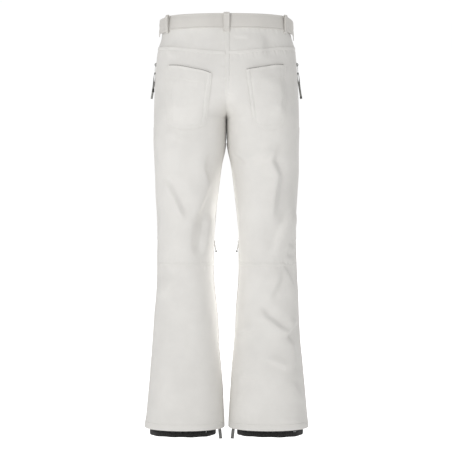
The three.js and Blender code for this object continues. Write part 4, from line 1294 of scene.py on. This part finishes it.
def adjuster_point(side, hand, along, height, out=0.0):
    """Point of a tab: along it from the loop to its free end, up it from -1 to 1. It follows the
    band's outline, standing further off towards its end, and its middle line droops."""
    y = TAB_BACK + (TAB_FRONT - TAB_BACK) * along
    hip = HIP_WIDE * (1 - (np.abs(np.minimum(y, 0)) / HIP_DEEP) ** HIP_POWER) ** (1 / HIP_POWER)
    stand = (2.6 + 4.6 * smooth(along, 0.05, 0.95)) * MM + out
    start, end, corner = (value * MM for value in TAB_DROOP[hand])
    half = 18.2 * MM * (1 + 0.07 * along) * np.sqrt(1 - (0.5 * smooth(along, 0.9, 1.0)) ** 2)
    z = start + (end - start) * along**1.4 + half * height
    z = z + corner * smooth(along, 0.6, 1) * smooth(-height, 0.2, 1)
    bow = 0.7 * MM * np.sin(math.pi * along) * np.cos(1.2 * height)
    bow = bow + 0.3 * MM * np.sin(8 * height + 6 * along)
    lean = 1.6 * MM * smooth(-height, -0.2, 1) * along
    return stacked(side * (hip + stand + bow + lean), y, z)


ROW_UP, ROW_END = 0.86, 0.93
for hand, side in SIDES:
    name = f"adjuster_tab_{hand}"
    along, height = np.meshgrid(graded([0, 0.06, ROW_END, 1], 0.022, 0.008),
                                graded([-1, -ROW_UP, ROW_UP, 1], 0.07, 0.02))
    edge = smooth(np.maximum(np.abs(height), smooth(along, 0.95, 1) * 0.999), 0.93, 1.0)
    row = np.exp(-(((np.abs(height) - ROW_UP) / 0.035) ** 2))
    row = row + np.exp(-(((along - ROW_END) / 0.012) ** 2))
    thick = (1.0 - 0.45 * edge - 0.22 * np.clip(row, 0, 1)) * MM
    uv = np.stack([along * 0.078, height * 0.018], -1)
    outer = adjuster_point(side, hand, along, height, thick)
    inner = adjuster_point(side, hand, along, height, -thick)
    points, quads, uvs, _ = wall(outer, inner, uv)
    piece = new_piece(name, points, quads, [BAND_CLOTH], "trousers", uvs)
    piece.parent = None
    del piece["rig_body"]
    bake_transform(piece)
    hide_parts(name)
    out_run = np.linspace(0.2, ROW_END, 40)
    row_along = np.concatenate([out_run, np.full(24, ROW_END), np.linspace(ROW_END, 0.2, 40)])
    row_up = np.concatenate([np.full(40, ROW_UP), np.linspace(ROW_UP, -ROW_UP, 24), np.full(40, -ROW_UP)])
    line = adjuster_point(side, hand, row_along, row_up, 0.85 * MM)
    sew(f"adjuster_{hand}", line, np.broadcast_to([float(side), 0, 0], line.shape))
    pad_lo, pad_hi = low(f"adjuster_pad_{hand}"), high(f"adjuster_pad_{hand}")
    y, z = np.meshgrid(np.linspace(pad_lo[1], pad_hi[1], 14), np.linspace(pad_lo[2], pad_hi[2], 12))
    inset = np.minimum(np.minimum(y - pad_lo[1], pad_hi[1] - y), np.minimum(z - pad_lo[2], pad_hi[2] - z))
    outer_x = np.abs([pad_lo[0], pad_hi[0]]).max() - 0.5 * MM * smooth(-inset, -1.2 * MM, 0)
    inner_x = np.abs([pad_lo[0], pad_hi[0]]).min() + 0 * y
    pad = cloth_piece(f"adjuster_pad_{hand}", np.stack([side * outer_x, y, z], -1),
                      np.stack([side * inner_x, y, z], -1), np.stack([y, z], -1), "trousers",
                      [HOOKS])
    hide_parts(f"adjuster_pad_{hand}")
print("side adjusters", 2)

# %% [markdown]
# Zips. Each has a woven tape, sewn into its slot, with a slit down the middle. The teeth are two
# rows of small moulded hooks, 2.4 mm apart, that mesh with each other, with a stop at each end.
# A row of hooks is one small shape repeated, placed as whole arrays.
# %% Zip tapes and teeth
TOOTH_PITCH = 2.4 * MM
CUBE = np.array([(x, y, z) for z in (-1, 1) for y in (-1, 1) for x in (-1, 1)], float)
CUBE_FACES = np.array([(0, 2, 3, 1), (4, 5, 7, 6), (0, 1, 5, 4), (2, 6, 7, 3), (0, 4, 6, 2), (1, 3, 7, 5)])


def placed(local, frame_of_zip):
    """Points given as across, along and out of a zip, put into the row frame."""
    middle, across, along, out = frame_of_zip
    return middle + local[..., :1] * across + local[..., 1:2] * along + local[..., 2:] * out


def repeated(shape, faces, centres):
    """Copies of a small shape at many centres: points and faces of them all."""
    points = (centres[:, None] + shape[None]).reshape(-1, 3)
    index = (faces[None] + (np.arange(len(centres)) * len(shape))[:, None, None]).reshape(-1, 4)
    return points, index


def zip_pieces(zip_name, hand):
    """The tape with its teeth, as two pieces that ride on the trousers."""
    frame_of_zip = FRAMES[zip_name, hand]
    tape_name = zip_name_of(zip_name, "zip", hand)
    half = ZIPS[zip_name]["length"] * MM / 2
    columns = np.array([-8.0, -7.7, -5, -2.2, -0.7, 0.7, 2.2, 5, 7.7, 8.0]) * MM
    rows = np.unique(np.concatenate([np.linspace(-half, half, int(half / MM / 1.5)),
                                     [4 * MM - half, half - 4 * MM]]))
    across, along = np.meshgrid(columns, rows)
    rise = 0.6 * MM + 0.12 * MM * np.cos(along / MM * 1.3) * (np.abs(across) > 2.5 * MM)
    rise = rise - 0.35 * MM * (np.abs(across) > 7.8 * MM)
    outer = placed(np.stack([across, along, rise], -1), frame_of_zip)
    inner = placed(np.stack([across, along, 0 * across - 0.6 * MM], -1), frame_of_zip)
    keep = np.ones((len(rows) - 1, len(columns) - 1), bool)
    middle_along = (rows[:-1] + rows[1:]) / 2
    keep[(np.abs(middle_along) < half - 4 * MM), 4] = False
    uv = np.stack([across, along], -1)
    tape = cloth_piece(tape_name, outer, inner, uv, "trousers", [TAPE], keep=keep)
    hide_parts(tape_name)
    run = np.arange(3 * MM - half, half - 3 * MM, TOOTH_PITCH)
    tooth = CUBE * np.array([1.15, 0.62, 0.62]) * MM
    tooth[CUBE[:, 2] > 0] *= np.array([0.82, 0.8, 1.0])
    lanes = []
    for way, shift in ((-1, 0.0), (1, TOOTH_PITCH / 2)):
        for out in (1.05, -1.05):
            lanes.append(np.stack([0 * run + way * 1.25 * MM, run + shift, 0 * run + out * MM], 1))
    stops = np.array([(0, end * (half - 2 * MM), 0) for end in (-1, 1)])
    points, faces = repeated(tooth, CUBE_FACES, np.concatenate(lanes))
    stop_points, stop_faces = repeated(CUBE * np.array([2.4, 1.1, 1.5]) * MM, CUBE_FACES, stops)
    points = placed(np.concatenate([points, stop_points]), frame_of_zip)
    faces = np.concatenate([faces, stop_faces + len(points) - len(stop_points)])
    new_piece(zip_name_of(zip_name, "teeth", hand), points, faces, [COIL], "trousers",
              uv=points[:, 1:], sharp=25)


for zip_name, hand in FRAMES:
    zip_pieces(zip_name, hand)
print("zips", len(FRAMES))

# %% [markdown]
# Sliders and pulls. A slider is die-cast: a shield-shaped plate over the teeth and one under
# them, joined at the nose, with an arched crown that holds the pull. It rides on its own body.
# The plates are lofted outlines, and the crown is a round bar bent into an arch.
# %% Sliders


def loft(sections):
    """Closed solid through equal rings of points (rings, n, 3), with a fan of quads at each end:
    points and quads. Each end ring is shrunk to its middle in one more ring."""
    rings = [sections[0] * 0 + sections[0].mean(0), *sections, sections[-1] * 0 + sections[-1].mean(0)]
    rings[0] = rings[0] + (sections[0] - sections[0].mean(0)) * 1e-3
    rings[-1] = rings[-1] + (sections[-1] - sections[-1].mean(0)) * 1e-3
    grid = np.stack(rings)
    rows, columns = grid.shape[:2]
    r, c = np.meshgrid(np.arange(rows - 1), np.arange(columns), indexing="ij")
    n = (c + 1) % columns
    this, above = r * columns, (r + 1) * columns
    quads = np.stack([this + c, this + n, above + n, above + c], -1).reshape(-1, 4)
    half = columns // 2
    ends = []
    for row, way in ((0, -1), (rows - 1, 1)):
        ring = row * columns + np.arange(columns)
        fan = [(ring[k], ring[k + 1], ring[columns - 2 - k], ring[columns - 1 - k])
               for k in range(half - 1)]
        ends += fan if way > 0 else [quad[::-1] for quad in fan]
    points = grid.reshape(-1, 3)
    quads = np.concatenate([quads, np.array(ends)])
    outwards = points[quads].mean(1) - points.mean(0)
    return points, quads if faces_out(quads, points, outwards) else quads[:, ::-1]


def shield(half, length, shoulder, count=32):
    """Outline of a slider's plate: wide at the nose end, narrowing in a smooth curve to its tail."""
    angle = np.linspace(0, 2 * math.pi, count, endpoint=False)
    x = half * signed_power(np.cos(angle), 0.6)
    y = length / 2 * signed_power(np.sin(angle), 0.6)
    return np.stack([x * (1 - shoulder * smooth(-y, -0.1 * length, 0.5 * length)), y], -1)


def plate_solid(outline, low_z, high_z, soft=0.35 * MM):
    """A plate with rounded edges between two levels."""
    steps = [(low_z, 0.93), (low_z + soft, 1.0), (high_z - soft, 1.0), (high_z - soft * 0.3, 0.96),
             (high_z, 0.9)]
    return loft([np.column_stack([outline * scale, np.full(len(outline), z)]) for z, scale in steps])


def bar(path, radius, count=10):
    """A round bar along a path of points: circles square to it."""
    way = directions(np.array(path))
    guide = np.array([1.0, 0.03, 0.02])
    one = unit(np.cross(way, guide))
    two = np.cross(way, one)
    angle = np.linspace(0, 2 * math.pi, count, endpoint=False)[None, :, None]
    circle = np.cos(angle) * one[:, None] + np.sin(angle) * two[:, None]
    radius = np.broadcast_to(radius, (len(path),))
    return loft(list(np.array(path)[:, None] + circle * radius[:, None, None]))


def joined(solids):
    """Several (points, quads) solids as one."""
    points, quads, start = [], [], 0
    for p, q in solids:
        points.append(p)
        quads.append(q + start)
        start += len(p)
    return np.concatenate(points), np.concatenate(quads)


print("a shield outline has", len(shield(4 * MM, 11 * MM, 0.22)), "points")

# %% [markdown]
# The sliders themselves. The thigh vents' sliders are lacquered white, to be lost against the
# cloth. The others keep their satin nickel. Each sits at the closed end of its zip.
# %% Making the sliders
# White lacquer over die-cast zinc: smooth and half glossy, with hardly any grain.
LACQUER = woven("white_lacquered_zinc", "#e6e5e2", "#dddcd8", 5 * MM, 0.01 * MM, 0.35)


def slider_solid():
    """A slider in its zip's frame: two plates, a post, two rails and an arched crown."""
    outline = shield(4 * MM, 11 * MM, 0.22)
    plates = [plate_solid(outline, 1.65 * MM, 2.75 * MM),
              plate_solid(outline * 0.96, -2.75 * MM, -1.65 * MM)]
    post = plate_solid(shield(0.34 * MM, 3.6 * MM, 0.1, 12), -1.8 * MM, 1.8 * MM, 0.02 * MM)
    angle = np.linspace(0, math.pi, 15)
    arch = [(0, 3.0 * MM * math.cos(a), 2.3 * MM + 3.3 * MM * math.sin(a) ** 0.7) for a in angle]
    rail = shield(0.4 * MM, 8 * MM, 0.1, 12)
    rails = [plate_solid(rail + np.array([way * 3.5 * MM, 0]), 2.5 * MM, 3.1 * MM, 0.1 * MM)
             for way in (-1, 1)]
    return joined([*plates, post, bar(arch, 1.05 * MM), *rails])


def travel(zip_name):
    """Where the slider sits along its zip, from the middle."""
    spec = ZIPS[zip_name]
    return spec["closed"] * (spec["length"] / 2 - 4 - 5.5) * MM


for zip_name, hand in FRAMES:
    points, quads = slider_solid()
    points = points + np.array([0, travel(zip_name), 0])
    name = zip_name_of(zip_name, "slider", hand)
    made = placed(points, FRAMES[zip_name, hand])
    finish = LACQUER if zip_name == "thigh_vent" else NICKEL
    piece = new_piece(name, made, quads, [finish], name, uv=made[:, 1:], sharp=50)
    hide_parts(name)
print("sliders", len(FRAMES))

# %% [markdown]
# Pulls. A wire bail swings in the slider's crown, and a strip of grey webbing is looped through
# it, with its two layers sewn together and sealed by a pressed clip. The webbing is soft: it
# leaves the bail square to it, and turns a little as it hangs. Each pull's pivot and axis come
# from its joint, and its direction from the plain solid.
# %% Zip pulls


def pull_frame(name):
    """Pivot, unit axis, direction down the pull, and the direction square to both, facing out."""
    joint = JOINTS[name]
    pivot, axis = np.array(joint["pos_m"]), np.array(joint["axis"], float)
    mesh = frame["nodes"][name].data
    points = np.array([v.co for v in mesh.vertices])
    away = points - pivot
    far = np.linalg.norm(away, axis=1) > 0.9 * np.linalg.norm(away, axis=1).max()
    down = away[far].mean(0)
    down = unit(down - axis * (down @ axis))
    return pivot, axis, down, np.cross(axis, down), float(np.linalg.norm(away, axis=1).max())


def zip_pull(zip_name, hand, clip_at, twist=0.0, sway=(0.0, 0.0), gap=1.0, bail_drop=7.5, tape=None,
             metal=None):
    """A pull: bail, looped webbing and clips. A clip is (start as a part of the length, size in mm,
    growth). twist turns the webbing about its length by its end, and sway moves its end along the
    axis and outwards, in mm."""
    name = zip_name_of(zip_name, "pull", hand)
    pivot, axis, down, out, reach = pull_frame(name)
    if out @ FRAMES[zip_name, hand][3] < 0:
        out = -out
    half = ZIPS[zip_name]["width"] * MM / 2
    length = reach - 0.4 * MM
    bail_width = min(half, 3.0 * MM) - 0.2 * MM
    corner = [(-0.2, 0), (-bail_width / MM, 0), (-bail_width / MM, bail_drop), (bail_width / MM, bail_drop),
              (bail_width / MM, 0), (0.2, 0)]
    corner = [pivot + axis * a * MM + down * d * MM for a, d in corner]
    bail_points, bail_quads = bar(rounded_path(corner, 0.9 * MM, 0.5 * MM), 0.62 * MM, 8)
    new_piece(f"{name}_bail", bail_points, bail_quads, [metal or NICKEL], name,
              uv=bail_points[:, 1:], sharp=60)
    run = np.linspace(0, 1, 60)
    angle = twist * smooth(run, 0.05, 0.7)
    first = (bail_drop - 0.3) * MM
    centre = (pivot + down * first + down * (run * (length - first))[:, None]
              + axis * (sway[0] * MM * run**1.5)[:, None] + out * (sway[1] * MM * run**1.5)[:, None])
    across = axis * np.cos(angle)[:, None] + out * np.sin(angle)[:, None]
    face = np.cross(across, directions(centre))
    part = 0.55 + gap * np.exp(-((run - 0.22) / 0.24) ** 2)
    front, back = centre + face * (part * MM)[:, None], centre - face * (part * MM)[:, None]
    top = centre[:1] - down * 1.3 * MM
    loop = np.concatenate([back[::-1], top, front])
    loop_across = np.concatenate([across[::-1], across[:1], across])
    outer, inner, uv, _ = strap_wall(loop, loop_across, half, 0.95 * MM, edge=0.25)
    strap = cloth_piece(name, outer, inner, uv, name, [tape or WEBBING])
    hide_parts(name)
    for start, size, growth in clip_at:
        index = int(np.clip(start, 0, 0.97) * 59)
        grip = centre[index] + down * size * MM / 2
        wide, thick = half * growth + 0.7 * MM, 1.9 * MM
        ring = np.linspace(0, 2 * math.pi, 28, endpoint=False)
        oval = (np.cos(ring)[:, None] * wide * across[index]
                + signed_power(np.sin(ring), 0.5)[:, None] * thick * face[index])
        points, quads = loft([grip + down * d * size * MM / 2 + oval * s for d, s in CLIP_STEPS])
        new_piece(f"{name}_clip{int(start * 100)}", points, quads, [RUBBER], name,
                  uv=points[:, 1:], sharp=50)
    for layer, sign in ((front, 1), (back, -1)):
        for offset in (-0.7, 0.7):
            sew(name, layer[8:-2], face[8:-2] * sign, offset * half, 0.55 * MM)


# A clip's outline along the pull: place and size, fullest near its two ends.
CLIP_STEPS = ((-1, 0.84), (-0.9, 0.97), (-0.6, 1), (0, 0.97), (0.6, 1), (0.9, 0.97), (1, 0.84))
# Clips: moulded rubber, dark and only faintly shiny.
RUBBER = woven("dark_moulded_rubber", "#5c5c59", "#454543", 4 * MM, 0.02 * MM, 0.55)
# The long bails of the pocket zips: drawn steel wire, polished bright.
BRIGHT = cast_metal("bright_steel_wire", "#e3e3e1", "#cfcfcc", 0.3)
for hand, side in SIDES:
    clips = ((0.0, 4.0, 0.8), (0.62, 9.0, 1.0)) if hand == "left" else ((0.0, 4.0, 0.8), (0.93, 4.5, 1.0))
    zip_pull("hand_pocket", hand, clips, 0.5 * side, (0.0, 6.0), 1.5, 21.0, metal=BRIGHT)
    zip_pull("thigh_vent", hand, ((0.8, 5.0, 1.0),), 0.3 * side, (0.0, 4.5), 0.2, 7.0, TAPE, LACQUER)
    zip_pull("hem", hand, ((0.02, 4.0, 1.0),), -0.62 * side, (0.0, 2.2), 0.5)
zip_pull("fly", "", ((0.5, 4.0, 0.8),), 0.0, (0.0, 3.4), 0.4)
print("pulls", len(FRAMES))

# %% [markdown]
# Front tab and snaps. The waistband closes with a tab of folded cloth that carries two snap caps,
# over two studs on the band. Caps and studs are turned shapes: a profile spun about an axis.
# %% Front tab and snaps


def turned(profile, centre, count=36):
    """Profile of (radius, out) pairs in mm spun about the front direction, from one pole to the
    other: each ring is a circle in the plane that faces front."""
    angle = np.linspace(0, 2 * math.pi, count, endpoint=False)
    rings = [np.stack([r * MM * np.cos(angle), 0 * angle + out * MM, r * MM * np.sin(angle)], -1) + centre
             for r, out in profile]
    return loft(rings)


tab_low, tab_high = low("waist_tab"), high("waist_tab")
TAB_FACE = tab_high[1]
TAB_THICK = 1.9 * MM
x_line = np.linspace(tab_low[0] + 0.4 * MM, tab_high[0] - 0.4 * MM, 60)
root = smooth(x_line, tab_high[0] - 11 * MM, tab_high[0] - 1 * MM)
y_line = TAB_FACE - TAB_THICK / 2 - 2.0 * MM * root
half = (tab_high[2] - tab_low[2]) / 2 - 0.4 * MM
nose = smooth(-x_line, -tab_low[0] - 9 * MM, -tab_low[0])
halves = half * np.sqrt(1 - (0.55 * nose) ** 2)
tab_line = np.stack([x_line, y_line, 0 * x_line], -1)
outer, inner, uv, _ = strap_wall(tab_line, np.array([0, 0, 1.0]), halves, TAB_THICK)
tab = cloth_piece("waist_tab", outer, inner, uv, "waist_tab", [CLOTH])
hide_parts("waist_tab")
for offset in (-0.86, 0.86):
    seam = tab_line + np.array([0, TAB_THICK / 2, 0]) + np.array([0, 0, 1.0]) * (halves * offset)[:, None]
    sew("waist_tab", seam[:-12], np.broadcast_to([0, 1.0, 0], seam[:-12].shape))
CAP = [(0.5, 2.0), (3.2, 1.95), (4.9, 1.6), (5.9, 1.0), (6.4, 0.5), (6.45, 0.2), (6.1, 0.0),
       (3, 0.0), (0.5, 0.0)]
STUD = [(0.5, 2.0), (1.6, 1.95), (2.1, 1.5), (1.9, 0.9), (2.6, 0.7), (4.4, 0.6), (4.95, 0.3),
        (4.8, 0.0), (2.0, 0), (0.5, 0)]
for spot in ("inner", "outer"):
    for kind, profile, body in (("cap", CAP, "waist_tab"), ("stud", STUD, "trousers")):
        name = f"snap_{kind}_{spot}"
        centre = (low(name) + high(name)) / 2
        centre[1] = low(name)[1]
        points, quads = turned(profile, centre)
        piece = new_piece(name, points, quads, [NICKEL], body, uv=points[:, ::2], sharp=35)
        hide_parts(name)
print("front tab and snaps", 5)

# %% [markdown]
# Gaiters. Inside each leg hangs a tube of black ripstop, gathered into a knitted elastic at its
# lower edge, which grips the boot. The gathers are ripples whose height grows towards the
# elastic. The elastic has upright ribs. A flat lace hook hangs from it at the front.
# %% Gaiters
BOOT_CENTRE, BOOT_WIDE, BOOT_BACK, BOOT_FRONT = 111.5 * MM, 83.5 * MM, 80 * MM, 76 * MM
GAITER_GIRTH = 0.52


def gaiter_ring(side, z, out=0.0, count=288):
    """Ring of a gaiter at each level z (rows, 1): a super-ellipse that narrows below its seam."""
    angle = np.linspace(0, 2 * math.pi, count, endpoint=False)[None, :]
    z = np.atleast_1d(z)[:, None]
    t = smooth(GAITER_TOP - z, 0.0, 60 * MM)
    centre_top, across_top, back_top, _ = section(np.array([GAITER_TOP]), "back")
    front_top = section(np.array([GAITER_TOP]), "front")[2]
    inset = -2.8 * MM
    centre = centre_top + (BOOT_CENTRE - centre_top) * t
    across, back, front = (
        from_top + inset + (boot - from_top - inset) * t
        for from_top, boot in ((across_top, BOOT_WIDE), (back_top, BOOT_BACK), (front_top, BOOT_FRONT)))
    gathers = (0.4 + 1.6 * smooth(GAITER_TOP - z, 0.11, 0.178)) * MM
    ripple = gathers * (0.6 * np.sin(34 * angle + 2 * np.sin(3 * angle)) + 0.4 * np.sin(61 * angle + 1.3))
    ripple = ripple + 0.8 * MM * np.sin(5 * angle + 40 * z)
    depth = np.where(np.sin(angle) < 0, back, front)
    reach = out + np.minimum(ripple - 1.2 * MM, 0.3 * MM)
    x = centre + (across + reach) * np.cos(angle)
    y = (depth + reach) * np.sin(angle)
    return stacked(side * x, y, z)


def elastic_ring(side, z, out, count=384):
    """Ring of the elastic: fine upright ribs, a slight wave, and rounded edges."""
    angle = np.linspace(0, 2 * math.pi, count, endpoint=False)[None, :]
    z = np.atleast_1d(z)[:, None]
    middle, half = (CUFF + GAITER_LOW) / 2, (CUFF - GAITER_LOW) / 2
    round_off = 0.9 * MM * np.clip(np.abs(z - middle) / half, 0, 1) ** 6
    ribs = 0.35 * MM * np.sin(96 * angle) + 0.5 * MM * np.sin(4 * angle + 1.1)
    reach = out + ribs - round_off * np.sign(out + 1.0 * MM)
    depth = np.where(np.sin(angle) < 0, BOOT_BACK, BOOT_FRONT)
    x = BOOT_CENTRE + (BOOT_WIDE + reach) * np.cos(angle)
    y = (depth + reach) * np.sin(angle)
    wave = 0.7 * MM * np.sin(3 * angle + 0.6 * side) + 0.4 * MM * np.sin(11 * angle)
    return stacked(side * x, y, z + wave)


def girth_map(ring, levels):
    """UV of a tube: the girth round it, and the level."""
    return stacked(np.linspace(0, GAITER_GIRTH, ring.shape[1])[None, :], levels[:, None])


for hand, side in SIDES:
    levels = np.concatenate([np.linspace(GAITER_TOP, CUFF + 30 * MM, 40),
                             np.linspace(CUFF + 27 * MM, CUFF - 1 * MM, 16)])
    outer, inner = gaiter_ring(side, levels), gaiter_ring(side, levels, -0.6 * MM)
    piece = cloth_piece(f"gaiter_{hand}", outer, inner, girth_map(outer, levels), "trousers",
                        [NYLON], ring=True)
    cut_from(piece)
    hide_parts(f"gaiter_{hand}")
    levels = np.linspace(CUFF, GAITER_LOW, 14)
    outer, inner = elastic_ring(side, levels, 0.4 * MM), elastic_ring(side, levels, -1.8 * MM)
    piece = cloth_piece(f"gaiter_elastic_{hand}", outer, inner, girth_map(outer, levels), "trousers",
                        [ELASTIC], ring=True)
    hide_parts(f"gaiter_elastic_{hand}")
    name = f"gaiter_hook_{hand}"
    top_of_hook = np.array([(low(name)[0] + high(name)[0]) / 2, low(name)[1] + 0.6 * MM,
                            high(name)[2] - 0.3 * MM])
    drop = high(name)[2] - low(name)[2] - 0.9 * MM
    route = [top_of_hook, top_of_hook - np.array([0, 0, drop]), top_of_hook + np.array([0, 2.9 * MM, -drop]),
             top_of_hook + np.array([0, 2.9 * MM, 3.4 * MM - drop])]
    hook_line = rounded_path(route, 0.8 * MM, 0.4 * MM)
    wide = 5.8 * MM * (1 - 0.25 * smooth(np.linspace(0, 1, len(hook_line)), 0.55, 1.0))
    outer, inner, uv, _ = strap_wall(hook_line, np.array([1.0, 0, 0]), wide, 0.9 * MM, edge=0.05)
    hook = cloth_piece(name, outer, inner, uv, name, [NICKEL])
    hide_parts(name)
print("gaiters", 2)

# %% [markdown]
# Pocket mouths. Along the turned edge of each back pocket, where it gapes from the cloth, a dark line of
# shadow is painted: a thin grey bar of round section along that edge.
# %% Painted shadows at the pocket mouths
# Painted shadow: a matt grey, finely woven strip along each mouth, standing for the shade in its gap.
MOUTH_SHADOW_PAINT = woven("painted_pocket_mouth_shadow", "#7d7b77", "#6a6864", 1.2 * MM, 0.1 * MM, 0.8)
for hand, side in SIDES:
    across = np.linspace(0.03, 0.93, 90)
    x, z = pocket_grid(hand, across, 0 * across)
    lift = pocket_height(across, 0 * across) + 0.35 * MM
    line = cloth_point(side, "back", share_at_x("back", x, z), z, lift)
    line[:, 2] += 0.25 * MM
    # Each bar is a grey strip of painted shadow along a pocket's mouth.
    points, quads = bar(line, 0.55 * MM, 8)
    new_piece(f"pocket_mouth_shadow_{hand}", points, quads, [MOUTH_SHADOW_PAINT], "trousers",
              uv=points[:, [0, 2]], sharp=60)
print("pocket mouth_shadows", 2)

# %% [markdown]
# Topstitching. Every row noted above becomes real thread: each stitch is a small rounded bar of
# twelve points that dips into the cloth at both ends. All the stitches of a group are one piece.
# %% Stitches
STITCH_RINGS = np.array([(-0.5, 0.25, -0.5), (-0.36, 0.85, 0.15), (0.36, 0.85, 0.15), (0.5, 0.25, -0.5)])
# The body that each group of stitches rides on, where it isn't the group's own name.
RIDES = {"body": "trousers", "tacks": "trousers",
         "adjuster_left": "adjuster_tab_left", "adjuster_right": "adjuster_tab_right"}


def stitch_piece(group, rows):
    """All the stitches of a group: four small square rings each, along, wide and high."""
    centre, way, up = (np.concatenate([row[i] for row in rows]) for i in range(3))
    way = unit(way)
    side = unit(np.cross(way, up))
    up = np.cross(side, way)
    corners = np.array([(-1, -1), (1, -1), (1, 1), (-1, 1)]) * 0.7
    along = np.repeat(STITCH_RINGS[:, 0], 4) * STITCH_LENGTH
    wide = (STITCH_RINGS[:, 1:2] * corners[None, :, 0]).ravel() * STITCH_RADIUS
    tall = (STITCH_RINGS[:, 1:2] * corners[None, :, 1] + STITCH_RINGS[:, 2:]).ravel() * STITCH_RADIUS
    points = (centre[:, None] + along[None, :, None] * way[:, None] + wide[None, :, None] * side[:, None]
              + tall[None, :, None] * up[:, None]).reshape(-1, 3)
    quads = [(4 * r + k, 4 * r + (k + 1) % 4, 4 * r + 4 + (k + 1) % 4, 4 * r + 4 + k)
             for r in range(3) for k in range(4)]
    quads = np.array(quads + [(3, 2, 1, 0), (12, 13, 14, 15)])
    faces = (quads[None] + 16 * np.arange(len(centre))[:, None, None]).reshape(-1, 4)
    outwards = points[faces].mean(1) - np.repeat(centre, len(quads), axis=0)
    faces = faces if faces_out(faces, points, outwards) else faces[:, ::-1]
    new_piece(f"stitches_{group}", points, faces, [THREAD], RIDES.get(group, group),
              uv=points[:, 1:], sharp=80)


for group, rows in STITCHES.items():
    stitch_piece(group, rows)
print("stitches", sum(len(row[0]) for rows in STITCHES.values() for row in rows))

# %% [markdown]
# The floor is a wide sheet of white paper under the lowest zip pull.
# %% Floor
floor_mesh = bpy.data.meshes.new("studio_floor")
FLOOR_HALF = 60.0
FLOOR_LEVEL = float(low("hem_pull_left")[2]) - 0.004
corners = [(x * FLOOR_HALF, y * FLOOR_HALF, FLOOR_LEVEL) for x, y in ((-1, -1), (1, -1), (1, 1), (-1, 1))]
floor_mesh.from_pydata(corners, [], [(0, 1, 2, 3)])
floor = bpy.data.objects.new("studio_floor", floor_mesh)
bpy.context.scene.collection.objects.link(floor)
# Paper: matt and white, lit from within just enough to lose its edge against the white world.
PAPER, paper_tree, paper_shader = new_material("white_studio_paper")
grain = node(paper_tree, "ShaderNodeTexNoise", values={"Scale": 40.0})
paper_tone = colour_steps(paper_tree, grain.outputs["Fac"], [(0.3, linear("#fbfbfb")), (0.7, WHITE)])
paper_tree.links.new(paper_tone.outputs["Color"], paper_shader.inputs["Base Color"])
paper_shader.inputs["Roughness"].default_value = 0.9
paper_shader.inputs["Emission Color"].default_value = (1, 1, 1, 1)
seen = node(paper_tree, "ShaderNodeLightPath")
glow = node(paper_tree, "ShaderNodeMapRange", values={"To Min": 0.25, "To Max": 1.0},
            links={"Value": seen.outputs["Is Camera Ray"]})
paper_tree.links.new(glow.outputs["Result"], paper_shader.inputs["Emission Strength"])
floor_mesh.materials.append(PAPER)
